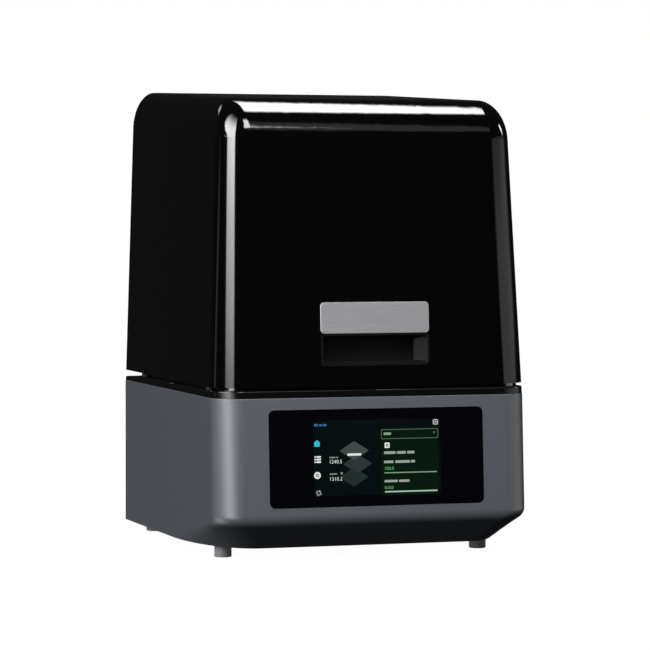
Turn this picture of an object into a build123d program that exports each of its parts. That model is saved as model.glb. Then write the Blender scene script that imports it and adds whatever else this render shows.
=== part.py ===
from build123d import *

import os
from math import atan2, cos, radians, sin, tan

# Desktop resin printer for dental work: a base housing with a leaning front and a touch display,
# a hood that tips up about its rear hinge, and inside it a resin vat and a lifting build platform.
# Millimetres, +Z up, the front faces -Y, the origin is under the middle of the machine.

# Casing as a whole
casing_width = 380.0
casing_depth = 411.5
casing_wall = 3.0
quarter_turn = 90
front_corner = 32.0
rear_corner = 12.0
least_corner = 3.0

# Base housing
base_bottom_z = 13.65
base_top_z = 187.7
face_lean = radians(3.69)
rim_width = 24.0
rim_thickness = 3.0
rim_edge_radius = 1.2
chin_z = 47.0
chin_setback = 43.7
chin_radius = 15.0
chin_corner_x = 63.0
chin_corner_y = 150.0

# Deck cover with its light-trap upstand
deck_height = 8.0
deck_skin = 6.0
deck_inset = 0.3
deck_edge_radius = 1.0
deck_opening_gap = 1.0
deck_screw_inset = 19.0
deck_screw_head_height = 1.5
recess_depth = 3.8
recess_length = 72.0
recess_margin = 0.5
upstand_gap = 5.5
upstand_wall = 3.0
upstand_height = 7.5
upstand_corner = 22.0

# Hood
hood_gap = 4.3
hood_wall = 3.0
hood_lean = radians(3.53)
hood_taper = radians(2.26)
hood_rear_lean = radians(1.65)
hood_front_top_z = 526.0
hood_rear_top_z = 545.0
dome_height = 44.0
dome_front = 50.0
dome_side = 22.0
dome_rear = 15.0
dome_corner = 12.0
seat_fit = 0.1
bumper_length = 14.0
bumper_inset = 2.0
bumper_clear = 0.1

# Base floor, feet and frame
floor_recess = 1.35
floor_thickness = 2.0
floor_screw_radius = 1.75
floor_boss_radius = 5.0
floor_boss_height = 20.0
floor_boss_sink = 1.0
floor_boss_front_inset = 185.0
floor_boss_rear_inset = 33.0
floor_slot_length = 74.0
floor_slot_width = 5.8
floor_slot_spacing = 13.0
floor_slot_count = 6
foot_radius = 10.0
foot_side_inset = 32.5
foot_front_inset = 85.0
foot_rear_inset = 28.0
foot_stud_radius = 4.0
foot_nut_radius = 7.5
foot_nut_height = 5.0
post_radius = 8.0
machine_plate_thickness = 6.0
machine_plate_drop = 4.0
machine_plate_side_gap = 50.0

# Touch display
display_width = 259.0
display_height = 111.0
display_corner = 6.5
display_centre_z = 118.6
display_glass_thickness = 1.8
module_width = 165.0
module_height = 100.0
module_thickness = 5.0
display_bracket_overlap = 12.0
display_bracket_thickness = 1.5

# Handle on the hood
handle_width = 131.3
plate_bottom_z = 260.0
plate_top_z = 295.7
plate_thickness = 2.2
plate_sink = 1.6
plate_corner = 4.5
pocket_bottom_z = 222.9
pocket_depth = 30.0
pocket_wall = 2.0
pocket_slope = 7.0
pocket_flange = 5.0
pocket_corner = 5.0
pocket_mouth_lip = 1.0
pocket_flange_inset = 3.0

# Hood hinge
hinge_rear_setback = 20.5
hinge_rise = 29.3
hinge_side_inset = 65.0
knuckle_radius = 9.0
knuckle_width = 24.0
hinge_pin_radius = 4.0
hinge_foot_reach = 16.0
hinge_foot_width = 44.0
hinge_foot_thickness = 4.0
hinge_upright = 10.0
hinge_web_half = 7.5
hinge_foot_clear = 15.0
hood_plate_width = 66.0
hood_plate_below = 10.0
hood_plate_above = 36.0
hood_plate_thickness = 4.0
hinge_ear = 6.0
hinge_screw_radius = 2.0
hinge_screw_head_radius = 3.4
hinge_screw_spacing = 36.0
hood_screw_spacing = 54.0
hood_screw_low = 4.0
hood_screw_high = 30.0
hood_screw_bite = 2.0
hinge_notch_rise = 7.5
hinge_notch_side = 3.0

# Resin vat
vat_width = 238.0
vat_depth = 170.0
vat_wall = 12.0
vat_height = 36.0
vat_ring_height = 4.0
vat_ring_wall = 9.0
vat_lip_wall = 2.0
vat_film_thickness = 0.3
vat_flange_reach = 12.0
vat_flange_length = 90.0
vat_flange_height = 8.0
vat_corner = 10.0
vat_grip_reach = 9.0
vat_grip_width = 70.0
vat_grip_thickness = 6.0
clamp_offset = 10.0
clamp_hub_radius = 9.0
clamp_hub_height = 16.0
clamp_bolt_radius = 4.0
clamp_head_radius = 6.5
clamp_head_height = 4.0
clamp_tongue_reach = 17.0
clamp_tongue_height = 6.0
clamp_lever_reach = 20.0
clamp_lever_width = 8.0
clamp_lever_height = 11.2
clamp_tongue_width = 12.6
clamp_post_radius = 8.0

# Exposure screen and light engine
screen_width = 206.0
screen_depth = 136.0
screen_thickness = 2.5
screen_frame_margin = 13.0
screen_window_margin = 6.5
lens_thickness = 3.0
lens_margin = 5.0
light_box_wall = 1.5
light_box_margin = 7.0
light_box_foot_width = 150.0
light_box_foot_depth = 90.0
led_board_thickness = 2.0
led_width = 4.0
led_height = 1.2
led_spacing = 18.0
sink_base = 6.0
sink_fin_height = 24.0
sink_fin_thickness = 3.0
sink_fin_count = 9
light_fan_width = 92.0
light_fan_depth = 25.0
light_fan_gap = 8.0
led_columns = 7
led_rows = 4

# Both cooling fans, as shares of their width and depth
fan_bore_share = 0.46
fan_corner_share = 0.05
fan_blade_share = 0.44
fan_hub_share = 0.19
fan_pin_share = 0.2
fan_strut_share = 0.12
fan_strut_overlap = 4.0
fan_rotor_lift_share = 0.16
fan_cup_share = 0.6
fan_cap_share = 0.1
fan_blade_count = 7
fan_blade_slant = 18.0
fan_blade_root = 2.0

# Lift column
column_width = 100.0
column_depth = 54.0
column_top_margin = 34.0
column_channel_width = 36.0
column_channel_depth = 26.0
column_cavity = 20.0
column_cavity_depth = 40.0
column_cavity_margin = 8.0
column_foot_margin = 12.0
column_foot_height = 7.5
column_screw_radius = 2.5
column_screw_head_radius = 4.0
column_screw_head_height = 3.0
column_rear_gap = 4.0
rail_width = 15.0
rail_depth = 10.0
rail_spread = 33.0
rail_bottom_margin = 8.0
rail_top_margin = 12.0
block_width = 30.0
block_depth = 12.0
block_lift = 4.0
block_length = 76.0
carriage_thickness = 8.0
carriage_width = 104.0
carriage_height = 80.0
vat_carriage_gap = 7.0
screw_radius = 4.0
screw_setback = 9.0
screw_top_margin = 4.0
screw_motor_depth = 38.4
screw_end_clear = 1.0
bearing_block_height = 14.0
bearing_block_clear = 0.1
motor_width = 42.3
motor_length = 48.0
motor_corner_cut = 3.4
motor_boss_radius = 11.0
motor_boss_height = 2.0
nut_radius = 10.0
nut_flange_radius = 14.0
nut_flange_height = 4.0
nut_height = 24.0
nut_lug_width = 30.0
nut_lug_height = 18.0
nut_lug_wall = 2.0
carriage_rise_share = 0.3

# Build arm and platform
park_height = 90.0
platform_width = 196.0
platform_depth = 124.0
platform_thickness = 14.0
neck_width = 56.0
neck_height = 38.0
arm_width = 66.0
arm_thickness = 16.0
arm_front_reach = 34.0
arm_flange_width = 96.0
arm_flange_height = 56.0
arm_flange_thickness = 10.0
arm_nose_radius = 11.2
knob_radius = 19.0
knob_height = 18.0
knob_scallop_radius = 6.0
knob_scallop_count = 6
knob_edge_radius = 2.0
knob_stud_sink = 14.4
knob_stud_radius = 4.0
knob_stud_length = 32.0
level_screw_radius = 2.5
level_screw_head_radius = 4.5
level_screw_head_height = 3.5
level_screw_spread_x = 24.0
level_screw_spread_y = 19.0

# Electronics
supply_width = 97.0
supply_depth = 160.0
supply_height = 40.0
supply_side_gap = 12.0
board_width = 100.0
board_depth = 140.0
board_thickness = 1.6
board_side_gap = 14.0
supply_terminal_width = 87.0
supply_terminal_depth = 19.0
chip_cooler_width = 34.0
chip_cooler_height = 10.0
chip_cooler_shift = 18.0
plug_width = 10.0
plug_length = 15.4
plug_height = 9.0
plug_spacing = 22.4
plug_count = 5
plug_shift = 40.0
capacitor_radius = 5.0
capacitor_height = 12.0
capacitor_spacing = 13.0
capacitor_shift_x = 16.0
capacitor_shift_y = 35.0
driver_width = 13.0
driver_spacing = 20.0
driver_shift_x = 10.0
driver_shift_y = 46.0
standoff_height = 10.0
standoff_radius = 3.0
exhaust_fan_width = 80.0
exhaust_fan_depth = 25.0
exhaust_fan_side_inset = 95.0
exhaust_fan_z = 110.0
grille_slot_length = 68.8
grille_slot_height = 4.0
grille_slot_spacing = 8.8
grille_slot_count = 8
inlet_side_inset = 50.0
inlet_z = 52.0
inlet_body_width = 27.4
inlet_body_height = 19.8
inlet_flange_width = 46.0
inlet_flange_height = 25.0
inlet_flange_thickness = 2.0
inlet_length = 20.0
inlet_socket_width = 24.2
inlet_socket_height = 16.4
inlet_socket_depth = 15.0
inlet_pin_spacing = 7.0
inlet_pin_width = 2.0
inlet_pin_height = 4.0
inlet_pin_length = 12.0
inlet_pin_shift = 2.0
switch_offset = 45.0
switch_width = 21.0
switch_height = 15.0
switch_depth = 16.0
switch_bezel_rim = 2.0
switch_axis_depth = 4.0
rocker_width = 16.0
rocker_height = 10.0
rocker_radius = 7.0
rocker_pin_radius = 1.5
ethernet_offset = 95.0
ethernet_width = 16.0
ethernet_height = 13.5
ethernet_wall = 2.0
ethernet_floor = 2.5
usb_offset = 120.0
usb_width = 14.5
usb_height = 7.5
usb_wall = 1.0
usb_tongue_thickness = 1.8
usb_tongue_rise = 1.0
usb_tongue_inset = 4.0
socket_depth = 18.0
socket_floor = 5.0

# Clearances
panel_fit = 0.3
running_fit = 0.1

# Casing layout
tan_lean = tan(face_lean)
chin_pitch = atan2(chin_z - base_bottom_z, chin_setback)
chin_turn = sin(chin_pitch - face_lean)
chin_centre_z = chin_z + chin_radius * (cos(chin_pitch) - sin(face_lean)) / (1 + chin_turn)
chin_centre_back = (
    chin_radius * (cos(face_lean) + sin(chin_pitch)) / (1 + chin_turn)
    - (base_top_z - chin_z) * tan_lean
)
hood_bottom_z = base_top_z + deck_height + hood_gap
deck_top_z = base_top_z + deck_height
hood_overhang = (hood_rear_top_z - dome_height - base_top_z) * tan(hood_rear_lean) - deck_inset
chin_reach = chin_radius - chin_centre_back
front_y = (chin_reach - casing_depth - hood_overhang) / 2
rear_y = front_y + casing_depth
half_width = casing_width / 2
top_slope = atan2(hood_rear_top_z - hood_front_top_z, casing_depth)
machine_plate_half = half_width - machine_plate_side_gap
exhaust_fan_x = half_width - exhaust_fan_side_inset
inlet_x = inlet_side_inset - half_width
switch_x = inlet_x + switch_offset
ethernet_x = inlet_x + ethernet_offset
usb_x = inlet_x + usb_offset
hinge_spread = half_width - hinge_side_inset


def face_y(z):
    """Front face of the base, which leans forward on its way down."""
    return front_y - (base_top_z - z) * tan_lean


def base_front_y(z, skin):
    """Front of the base at a height, skin deep in the wall: face, rounded chin or undercut."""
    radius = chin_radius - skin
    if z >= chin_centre_z + radius * sin(face_lean):
        return face_y(z) + skin / cos(face_lean)
    if z <= chin_centre_z - radius * cos(chin_pitch):
        return face_y(chin_z) + (chin_z - z) / tan(chin_pitch) + skin / sin(chin_pitch)
    return front_y + chin_centre_back - (radius**2 - (z - chin_centre_z) ** 2) ** 0.5


def plan_outline(plane, half, front, rear, corner_x, corner_y, rear_radius):
    """Plan outline with elliptical front corners and round rear corners."""
    with BuildSketch(plane) as outline:
        with BuildLine():
            Line((-half + corner_x, front), (half - corner_x, front))
            EllipticalCenterArc(
                (half - corner_x, front + corner_y), corner_x, corner_y, 270, arc_size=quarter_turn
            )
            Line((half, front + corner_y), (half, rear - rear_radius))
            CenterArc((half - rear_radius, rear - rear_radius), rear_radius, 0, quarter_turn)
            Line((half - rear_radius, rear), (-half + rear_radius, rear))
            CenterArc((-half + rear_radius, rear - rear_radius), rear_radius, quarter_turn, quarter_turn)
            Line((-half, rear - rear_radius), (-half, front + corner_y))
            EllipticalCenterArc(
                (-half + corner_x, front + corner_y), corner_x, corner_y, 180, arc_size=quarter_turn
            )
        make_face()
    return outline.sketch.face()


def base_outline(z, skin):
    """Base housing cut level at a height; the front corners open out under the chin."""
    swing = (base_front_y(z, 0) - face_y(z)) / (
        base_front_y(base_bottom_z, 0) - face_y(base_bottom_z)
    )
    return plan_outline(
        Plane.XY.offset(z),
        half_width - skin,
        base_front_y(z, skin),
        rear_y - skin,
        front_corner + (chin_corner_x - front_corner) * swing - skin,
        front_corner + (chin_corner_y - front_corner) * swing - skin,
        max(rear_corner - skin, least_corner),
    )


def chin_levels(skin):
    """Heights that follow the rounded chin, from the undercut up to the face."""
    steps = 5
    radius = chin_radius - skin
    low = radians(90) - chin_pitch
    angles = [low + (-face_lean - low) * step / steps for step in range(steps + 1)]
    return [chin_centre_z - radius * sin(angle) for angle in angles]


def base_body(skin, bottom_z, top_z):
    """The base's outer or inner form, in three lofts: undercut, chin and face."""
    levels = chin_levels(skin)
    action = Mode.ADD if skin == 0 else Mode.SUBTRACT
    loft([base_outline(bottom_z, skin), base_outline(levels[0], skin)], ruled=True, mode=action)
    loft([base_outline(z, skin) for z in levels], mode=action)
    loft([base_outline(levels[-1], skin), base_outline(top_z, skin)], ruled=True, mode=action)


def hood_front_y(z):
    """Front plane shared by the deck band and the hood, leaning back on its way up."""
    return front_y + deck_inset + (z - base_top_z) * tan(hood_lean)


def hood_rear_y(z):
    """Rear plane shared by the deck band and the hood."""
    return rear_y - deck_inset + (z - base_top_z) * tan(hood_rear_lean)


def hood_half(z):
    """Half width of the deck band and the hood, which narrow on their way up."""
    return half_width - deck_inset - (z - base_top_z) * tan(hood_taper)


def upper_outline(z, skin):
    """Deck band or hood cut level at a height."""
    return plan_outline(
        Plane.XY.offset(z),
        hood_half(z) - skin,
        hood_front_y(z) + skin,
        hood_rear_y(z) - skin,
        front_corner - skin,
        front_corner - skin,
        rear_corner - skin,
    )


def top_plane_z(y):
    """Height of the hood's top, which rises towards the rear."""
    return hood_front_top_z + (y - front_y) * tan(top_slope)


def dome_outline(turn, skin):
    """Hood cut parallel to its top, at a turn of 0 to 90 degrees round the domed edge."""
    curl = 1 - cos(radians(turn))
    height = top_plane_z(0) - dome_height + (dome_height - skin) * sin(radians(turn))
    plane = Plane(
        origin=(0, 0, height), x_dir=(1, 0, 0), z_dir=(0, -sin(top_slope), cos(top_slope))
    )
    front = hood_front_y(height) / (cos(top_slope) - sin(top_slope) * tan(hood_lean))
    rear = hood_rear_y(height) / (cos(top_slope) - sin(top_slope) * tan(hood_rear_lean))
    corner = front_corner - (front_corner - dome_corner) * curl - skin
    return plan_outline(
        plane,
        hood_half(height) - skin - (dome_side - skin) * curl,
        front + skin + (dome_front - skin) * curl,
        rear - skin - (dome_rear - skin) * curl,
        corner,
        corner,
        rear_corner - skin,
    )


def hood_body(skin, bottom_z):
    """The hood's outer or inner form: straight walls, then the domed edges and the top."""
    action = Mode.ADD if skin == 0 else Mode.SUBTRACT
    loft([upper_outline(bottom_z, skin), dome_outline(0, skin)], ruled=True, mode=action)
    loft([dome_outline(turn, skin) for turn in range(0, 91, 15)], mode=action)


def leaning_plane(x, y, z, lean):
    """Plane on a face that leans back: local X across, local Y up the face, normal to the front."""
    return Plane(origin=(x, y, z), x_dir=(1, 0, 0), z_dir=(0, -cos(lean), sin(lean)))


# Layout of the inside, worked out from the casing
floor_bottom_z = base_bottom_z + floor_recess
floor_top_z = floor_bottom_z + floor_thickness
machine_top_z = base_top_z - machine_plate_drop
machine_bottom_z = machine_top_z - machine_plate_thickness
hinge_y = rear_y - hinge_rear_setback
hinge_z = deck_top_z + hinge_rise
upstand_rear_y = hinge_y - hinge_foot_clear - hinge_foot_reach - upstand_wall
column_rear_y = upstand_rear_y - upstand_wall - column_rear_gap
column_front_y = column_rear_y - column_depth
carriage_rear_y = column_front_y - block_lift - block_depth
carriage_front_y = carriage_rear_y - carriage_thickness
vat_y = carriage_front_y - vat_carriage_gap - vat_depth / 2
column_top_z = top_plane_z(column_front_y) - hood_wall - column_top_margin
screw_y = column_front_y + screw_setback
platform_bottom_z = deck_top_z + vat_film_thickness + panel_fit + park_height
on_top = (Align.CENTER, Align.CENTER, Align.MIN)
hung_below = (Align.CENTER, Align.CENTER, Align.MAX)
to_rear = (Align.CENTER, Align.MIN, Align.CENTER)
to_front = (Align.CENTER, Align.MAX, Align.CENTER)

foot_places = [
    (side * (half_width - foot_side_inset), y)
    for side in (-1, 1)
    for y in (front_y + foot_front_inset, rear_y - foot_rear_inset)
]
boss_places = [
    (side * (half_width - casing_wall - floor_boss_radius + floor_boss_sink), y)
    for side in (-1, 1)
    for y in (front_y + floor_boss_front_inset, vat_y + vat_depth / 2, rear_y - floor_boss_rear_inset)
]
deck_screw_places = [
    (side * (half_width - deck_screw_inset), y)
    for side in (-1, 1)
    for y in (vat_y - vat_depth / 2, vat_y + vat_depth / 2)
]
column_mid_y = (column_front_y + column_rear_y) / 2
column_screw_places = [
    (side * (column_width + column_foot_margin) / 2, column_mid_y + shift)
    for side in (-1, 1)
    for shift in (-column_depth / 3, column_depth / 3)
]
hinge_foot_y = hinge_y - hinge_foot_clear - hinge_foot_reach / 2
hinge_screw_places = [
    (side * hinge_spread + end * hinge_screw_spacing / 2, hinge_foot_y)
    for side in (-1, 1)
    for end in (-1, 1)
]
hood_screw_places = [
    (side * hinge_spread + end * hood_screw_spacing / 2, rise)
    for side in (-1, 1)
    for end in (-1, 1)
    for rise in (-hood_screw_low, hood_screw_high)
]
display_plane = leaning_plane(0, face_y(display_centre_z), display_centre_z, face_lean)
handle_z = (plate_bottom_z + plate_top_z) / 2
handle_plane = leaning_plane(0, hood_front_y(handle_z), handle_z, hood_lean)
pocket_z = (pocket_bottom_z + plate_bottom_z) / 2
pocket_height = plate_bottom_z - pocket_bottom_z
pocket_plane = leaning_plane(0, hood_front_y(pocket_z), pocket_z, hood_lean)
hood_rear_plane = leaning_plane(0, hood_rear_y(hinge_z) - hood_wall, hinge_z, hood_rear_lean)
rear_inside_y = rear_y - casing_wall
machine_front_y = vat_y - vat_depth / 2 - 2 * post_radius
machine_rear_y = column_rear_y + 2 * post_radius
post_places = [
    (side * (machine_plate_half - post_radius), y)
    for side in (-1, 1)
    for y in (machine_front_y + post_radius, machine_rear_y - post_radius)
]

# Base housing: a moulded shell with a rim round its open top and bosses for its floor
with BuildPart() as base_housing:
    base_body(0, base_bottom_z, base_top_z)
    base_body(casing_wall, base_bottom_z - casing_wall, base_top_z - rim_thickness)
    with BuildSketch(Plane.XY.offset(base_top_z)):
        add(base_outline(base_top_z, rim_width))
    extrude(amount=-2 * rim_thickness, mode=Mode.SUBTRACT)
    rim_edges = base_housing.edges().filter_by_position(Axis.Z, base_top_z, base_top_z)
    fillet(rim_edges, rim_edge_radius)
    with Locations(*[(x, y, floor_top_z) for x, y in boss_places]):
        Cylinder(floor_boss_radius, floor_boss_height, align=on_top)
        Cylinder(floor_screw_radius + panel_fit, floor_boss_height / 2, align=on_top, mode=Mode.SUBTRACT)
    with Locations(*[(x, y, base_top_z) for x, y in deck_screw_places]):
        Cylinder(floor_screw_radius + panel_fit, 4 * rim_thickness, mode=Mode.SUBTRACT)
    # Seat for the display glass, and the window behind it
    with BuildSketch(display_plane):
        RectangleRounded(
            display_width + 2 * panel_fit, display_height + 2 * panel_fit, display_corner + panel_fit
        )
    extrude(amount=-display_glass_thickness, mode=Mode.SUBTRACT)
    with BuildSketch(display_plane):
        Rectangle(module_width + 2 * panel_fit, module_height + 2 * panel_fit)
    extrude(amount=-2 * casing_wall, mode=Mode.SUBTRACT)
    # Openings in the rear wall: mains inlet, switch, data sockets and the exhaust grille
    with Locations((inlet_x, rear_y, inlet_z)):
        Box(
            inlet_body_width + 2 * panel_fit,
            4 * casing_wall,
            inlet_body_height + 2 * panel_fit,
            mode=Mode.SUBTRACT,
        )
    with Locations((switch_x, rear_y, inlet_z)):
        Box(switch_width + 2 * panel_fit, 4 * casing_wall, switch_height + 2 * panel_fit, mode=Mode.SUBTRACT)
    with Locations((ethernet_x, rear_y, inlet_z)):
        Box(
            ethernet_width + 2 * panel_fit,
            4 * casing_wall,
            ethernet_height + 2 * panel_fit,
            mode=Mode.SUBTRACT,
        )
    with Locations((usb_x, rear_y, inlet_z)):
        Box(usb_width + 2 * panel_fit, 4 * casing_wall, usb_height + 2 * panel_fit, mode=Mode.SUBTRACT)
    for slot in range(grille_slot_count):
        rise = (slot - (grille_slot_count - 1) / 2) * grille_slot_spacing
        with Locations((exhaust_fan_x, rear_y, exhaust_fan_z + rise)):
            Box(grille_slot_length, 4 * casing_wall, grille_slot_height, mode=Mode.SUBTRACT)

# Floor: a steel plate let into the bottom of the housing, with air slots under the light engine
with BuildPart() as bottom_plate:
    with BuildSketch(Plane.XY.offset(floor_bottom_z)):
        add(base_outline(floor_bottom_z, casing_wall + panel_fit))
    extrude(amount=floor_thickness)
    with Locations(*[(x, y, floor_bottom_z) for x, y in foot_places]):
        Cylinder(foot_stud_radius + panel_fit, 3 * floor_thickness, mode=Mode.SUBTRACT)
    with Locations(*[(x, y, floor_bottom_z) for x, y in boss_places]):
        Cylinder(floor_screw_radius + panel_fit, 3 * floor_thickness, mode=Mode.SUBTRACT)
    with Locations((0, vat_y, floor_bottom_z)):
        with GridLocations(0, floor_slot_spacing, 1, floor_slot_count):
            Box(floor_slot_length, floor_slot_width, 3 * floor_thickness, mode=Mode.SUBTRACT)

with BuildPart() as bottom_screws:
    with Locations(*[(x, y, floor_bottom_z) for x, y in boss_places]):
        Cylinder(floor_screw_radius * 2, floor_recess, align=hung_below)
        Cylinder(floor_screw_radius, floor_boss_height / 2, align=on_top)

with BuildPart() as feet:
    with Locations(*foot_places):
        Cylinder(foot_radius, floor_bottom_z, align=on_top)
        Cylinder(foot_stud_radius + panel_fit, floor_bottom_z, align=on_top, mode=Mode.SUBTRACT)
        Cylinder(foot_stud_radius + panel_fit, floor_recess, align=on_top)
    fillet(feet.edges().group_by(Axis.Z)[0], foot_radius / 8)

with BuildPart() as foot_studs:
    with Locations(*[(x, y, 2 * floor_recess) for x, y in foot_places]):
        Cylinder(foot_stud_radius, floor_top_z - floor_recess, align=on_top)
    for x, y in foot_places:
        with BuildSketch(Plane.XY.offset(floor_top_z)):
            with Locations((x, y)):
                RegularPolygon(foot_nut_radius, 6)
        extrude(amount=foot_nut_height)

with BuildPart() as frame_posts:
    with Locations(*[(x, y, floor_top_z) for x, y in post_places]):
        Cylinder(post_radius, machine_bottom_z - floor_top_z, align=on_top)

# Machine plate: carries the exposure screen and the lift column
with BuildPart() as machine_plate:
    with BuildSketch(Plane.XY.offset(machine_bottom_z)):
        with Locations((0, (machine_front_y + machine_rear_y) / 2)):
            RectangleRounded(2 * machine_plate_half, machine_rear_y - machine_front_y, post_radius)
        with Locations((0, vat_y)):
            Rectangle(
                screen_width - 2 * screen_window_margin,
                screen_depth - 2 * screen_window_margin,
                mode=Mode.SUBTRACT,
            )
        with Locations((0, screw_y)):
            Circle(motor_boss_radius + panel_fit, mode=Mode.SUBTRACT)
        with Locations(*column_screw_places):
            Circle(column_screw_radius + panel_fit, mode=Mode.SUBTRACT)
    extrude(amount=machine_plate_thickness)

screen_frame_width = screen_width + 2 * screen_frame_margin
screen_frame_depth = screen_depth + 2 * screen_frame_margin
column_foot_width = column_width + 2 * column_foot_margin

# Deck cover: black band under the hood, openings for screen and column, upstand against light,
# and a lower step at the rear for the swing of the hood
with BuildPart() as deck_cover:
    loft([upper_outline(base_top_z, 0), upper_outline(deck_top_z, 0)], ruled=True)
    deck_edge = deck_cover.edges().group_by(Axis.Z)[-1]
    fillet(deck_edge, deck_edge_radius)
    with BuildSketch(Plane.XY.offset(base_top_z)):
        add(base_outline(base_top_z, rim_width))
    extrude(amount=deck_height - deck_skin, mode=Mode.SUBTRACT)
    with BuildSketch(Plane.XY.offset(base_top_z)):
        with Locations((0, vat_y)):
            Rectangle(screen_frame_width + 2 * panel_fit, screen_frame_depth + 2 * panel_fit)
        with Locations((0, column_mid_y - column_foot_margin / 2)):
            Rectangle(
                column_foot_width + 2 * deck_opening_gap,
                column_depth + column_foot_margin + 2 * deck_opening_gap,
            )
    extrude(amount=2 * deck_height, mode=Mode.SUBTRACT)
    upstand_inset = hood_wall + upstand_gap
    upstand_front_y = hood_front_y(deck_top_z) + upstand_inset
    upstand_half = hood_half(deck_top_z) - upstand_inset
    with BuildSketch(Plane.XY.offset(deck_top_z)):
        add(
            plan_outline(
                Plane.XY,
                upstand_half,
                upstand_front_y,
                upstand_rear_y,
                upstand_corner,
                upstand_corner,
                rear_corner,
            )
        )
        add(
            plan_outline(
                Plane.XY,
                upstand_half - upstand_wall,
                upstand_front_y + upstand_wall,
                upstand_rear_y - upstand_wall,
                upstand_corner - upstand_wall,
                upstand_corner - upstand_wall,
                rear_corner - upstand_wall,
            ),
            mode=Mode.SUBTRACT,
        )
    extrude(amount=upstand_height)
    with BuildSketch(Plane.XY.offset(deck_top_z)):
        with Locations((0, rear_y - recess_length)):
            Rectangle(casing_width, casing_depth, align=(Align.CENTER, Align.MIN))
        with Locations((0, upstand_rear_y + recess_margin)):
            Rectangle(
                2 * (upstand_half + recess_margin),
                casing_depth,
                align=(Align.CENTER, Align.MAX),
                mode=Mode.SUBTRACT,
            )
        with Locations((0, hinge_y - hinge_foot_clear + recess_margin)):
            Rectangle(
                2 * (hinge_spread + hinge_foot_width / 2 + recess_margin),
                casing_depth,
                align=(Align.CENTER, Align.MAX),
                mode=Mode.SUBTRACT,
            )
    extrude(amount=-recess_depth, mode=Mode.SUBTRACT)
    with Locations(*[(x, y, deck_top_z) for x, y in deck_screw_places]):
        Cylinder(floor_screw_radius + panel_fit, 4 * deck_height, mode=Mode.SUBTRACT)
    with Locations(*[(x, y, deck_top_z) for x, y in hinge_screw_places]):
        Cylinder(hinge_screw_radius + panel_fit, 4 * deck_skin, mode=Mode.SUBTRACT)

with BuildPart() as deck_screws:
    with Locations(*[(x, y, deck_top_z) for x, y in deck_screw_places]):
        Cylinder(floor_screw_radius * 2, deck_screw_head_height, align=on_top)
        Cylinder(floor_screw_radius, deck_height + rim_thickness, align=hung_below)

bumper_places = [
    (side * (hood_half(deck_top_z) - hood_wall / 2 - bumper_inset), y)
    for side in (-1, 1)
    for y in (front_y + front_corner + bumper_length, rear_y - recess_length - bumper_length)
]
with BuildPart() as hood_bumpers:
    with Locations(*[(x, y, deck_top_z) for x, y in bumper_places]):
        Box(hood_wall, bumper_length, hood_gap - bumper_clear, align=on_top)

# Touch display
with BuildPart() as display_glass:
    with BuildSketch(display_plane):
        RectangleRounded(display_width, display_height, display_corner)
    extrude(amount=-display_glass_thickness)

with BuildPart() as display_module:
    with BuildSketch(display_plane.offset(-display_glass_thickness)):
        Rectangle(module_width, module_height)
    extrude(amount=-module_thickness)

module_back = display_glass_thickness + module_thickness
with BuildPart() as display_bracket:
    with BuildSketch(display_plane.offset(-module_back)):
        Rectangle(module_width + 4 * display_bracket_overlap, module_height)
    extrude(amount=-display_bracket_thickness)
    with BuildSketch(display_plane.offset(-module_back)):
        with GridLocations(
            module_width + 3 * display_bracket_overlap,
            module_height - 2 * display_bracket_overlap,
            2,
            2,
        ):
            Circle(display_bracket_overlap / 3)
    extrude(amount=module_back - casing_wall)

# Exposure screen over the window in the machine plate
with BuildPart() as screen_frame:
    with BuildSketch(Plane.XY.offset(machine_top_z)):
        with Locations((0, vat_y)):
            RectangleRounded(screen_frame_width, screen_frame_depth, screen_thickness)
            Rectangle(
                screen_width - 2 * screen_window_margin,
                screen_depth - 2 * screen_window_margin,
                mode=Mode.SUBTRACT,
            )
    extrude(amount=deck_top_z - machine_top_z)
    with BuildSketch(Plane.XY.offset(deck_top_z)):
        with Locations((0, vat_y)):
            Rectangle(screen_width + 2 * panel_fit, screen_depth + 2 * panel_fit)
    extrude(amount=-screen_thickness, mode=Mode.SUBTRACT)

with BuildPart() as exposure_screen:
    with Locations((0, vat_y, deck_top_z)):
        Box(screen_width, screen_depth, screen_thickness, align=hung_below)

# Light engine under the machine plate
light_box_top_width = screen_width + 2 * light_box_margin
light_box_top_depth = screen_depth + 2 * light_box_margin
fan_bottom_z = floor_top_z + light_fan_gap
sink_bottom_z = fan_bottom_z + light_fan_depth
sink_top_z = sink_bottom_z + sink_fin_height + sink_base
light_board_z = sink_top_z + led_board_thickness
sink_width = light_box_foot_width
sink_depth = light_fan_width

with BuildPart() as light_box:
    for skin, action in ((0, Mode.ADD), (light_box_wall, Mode.SUBTRACT)):
        with BuildSketch(Plane.XY.offset(light_board_z), mode=Mode.PRIVATE) as low:
            with Locations((0, vat_y)):
                Rectangle(light_box_foot_width - 2 * skin, light_box_foot_depth - 2 * skin)
        with BuildSketch(Plane.XY.offset(machine_bottom_z), mode=Mode.PRIVATE) as high:
            with Locations((0, vat_y)):
                Rectangle(light_box_top_width - 2 * skin, light_box_top_depth - 2 * skin)
        loft([low.sketch.face(), high.sketch.face()], ruled=True, mode=action)

with BuildPart() as lens_plate:
    with Locations((0, vat_y, machine_bottom_z)):
        Box(screen_width - lens_margin, screen_depth - lens_margin, lens_thickness, align=hung_below)

with BuildPart() as led_board:
    with Locations((0, vat_y, sink_top_z)):
        Box(light_box_foot_width, light_box_foot_depth, led_board_thickness, align=on_top)
    with Locations((0, vat_y, light_board_z)):
        with GridLocations(led_spacing, led_spacing, led_columns, led_rows):
            Box(led_width, led_width, led_height, align=on_top)

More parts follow.
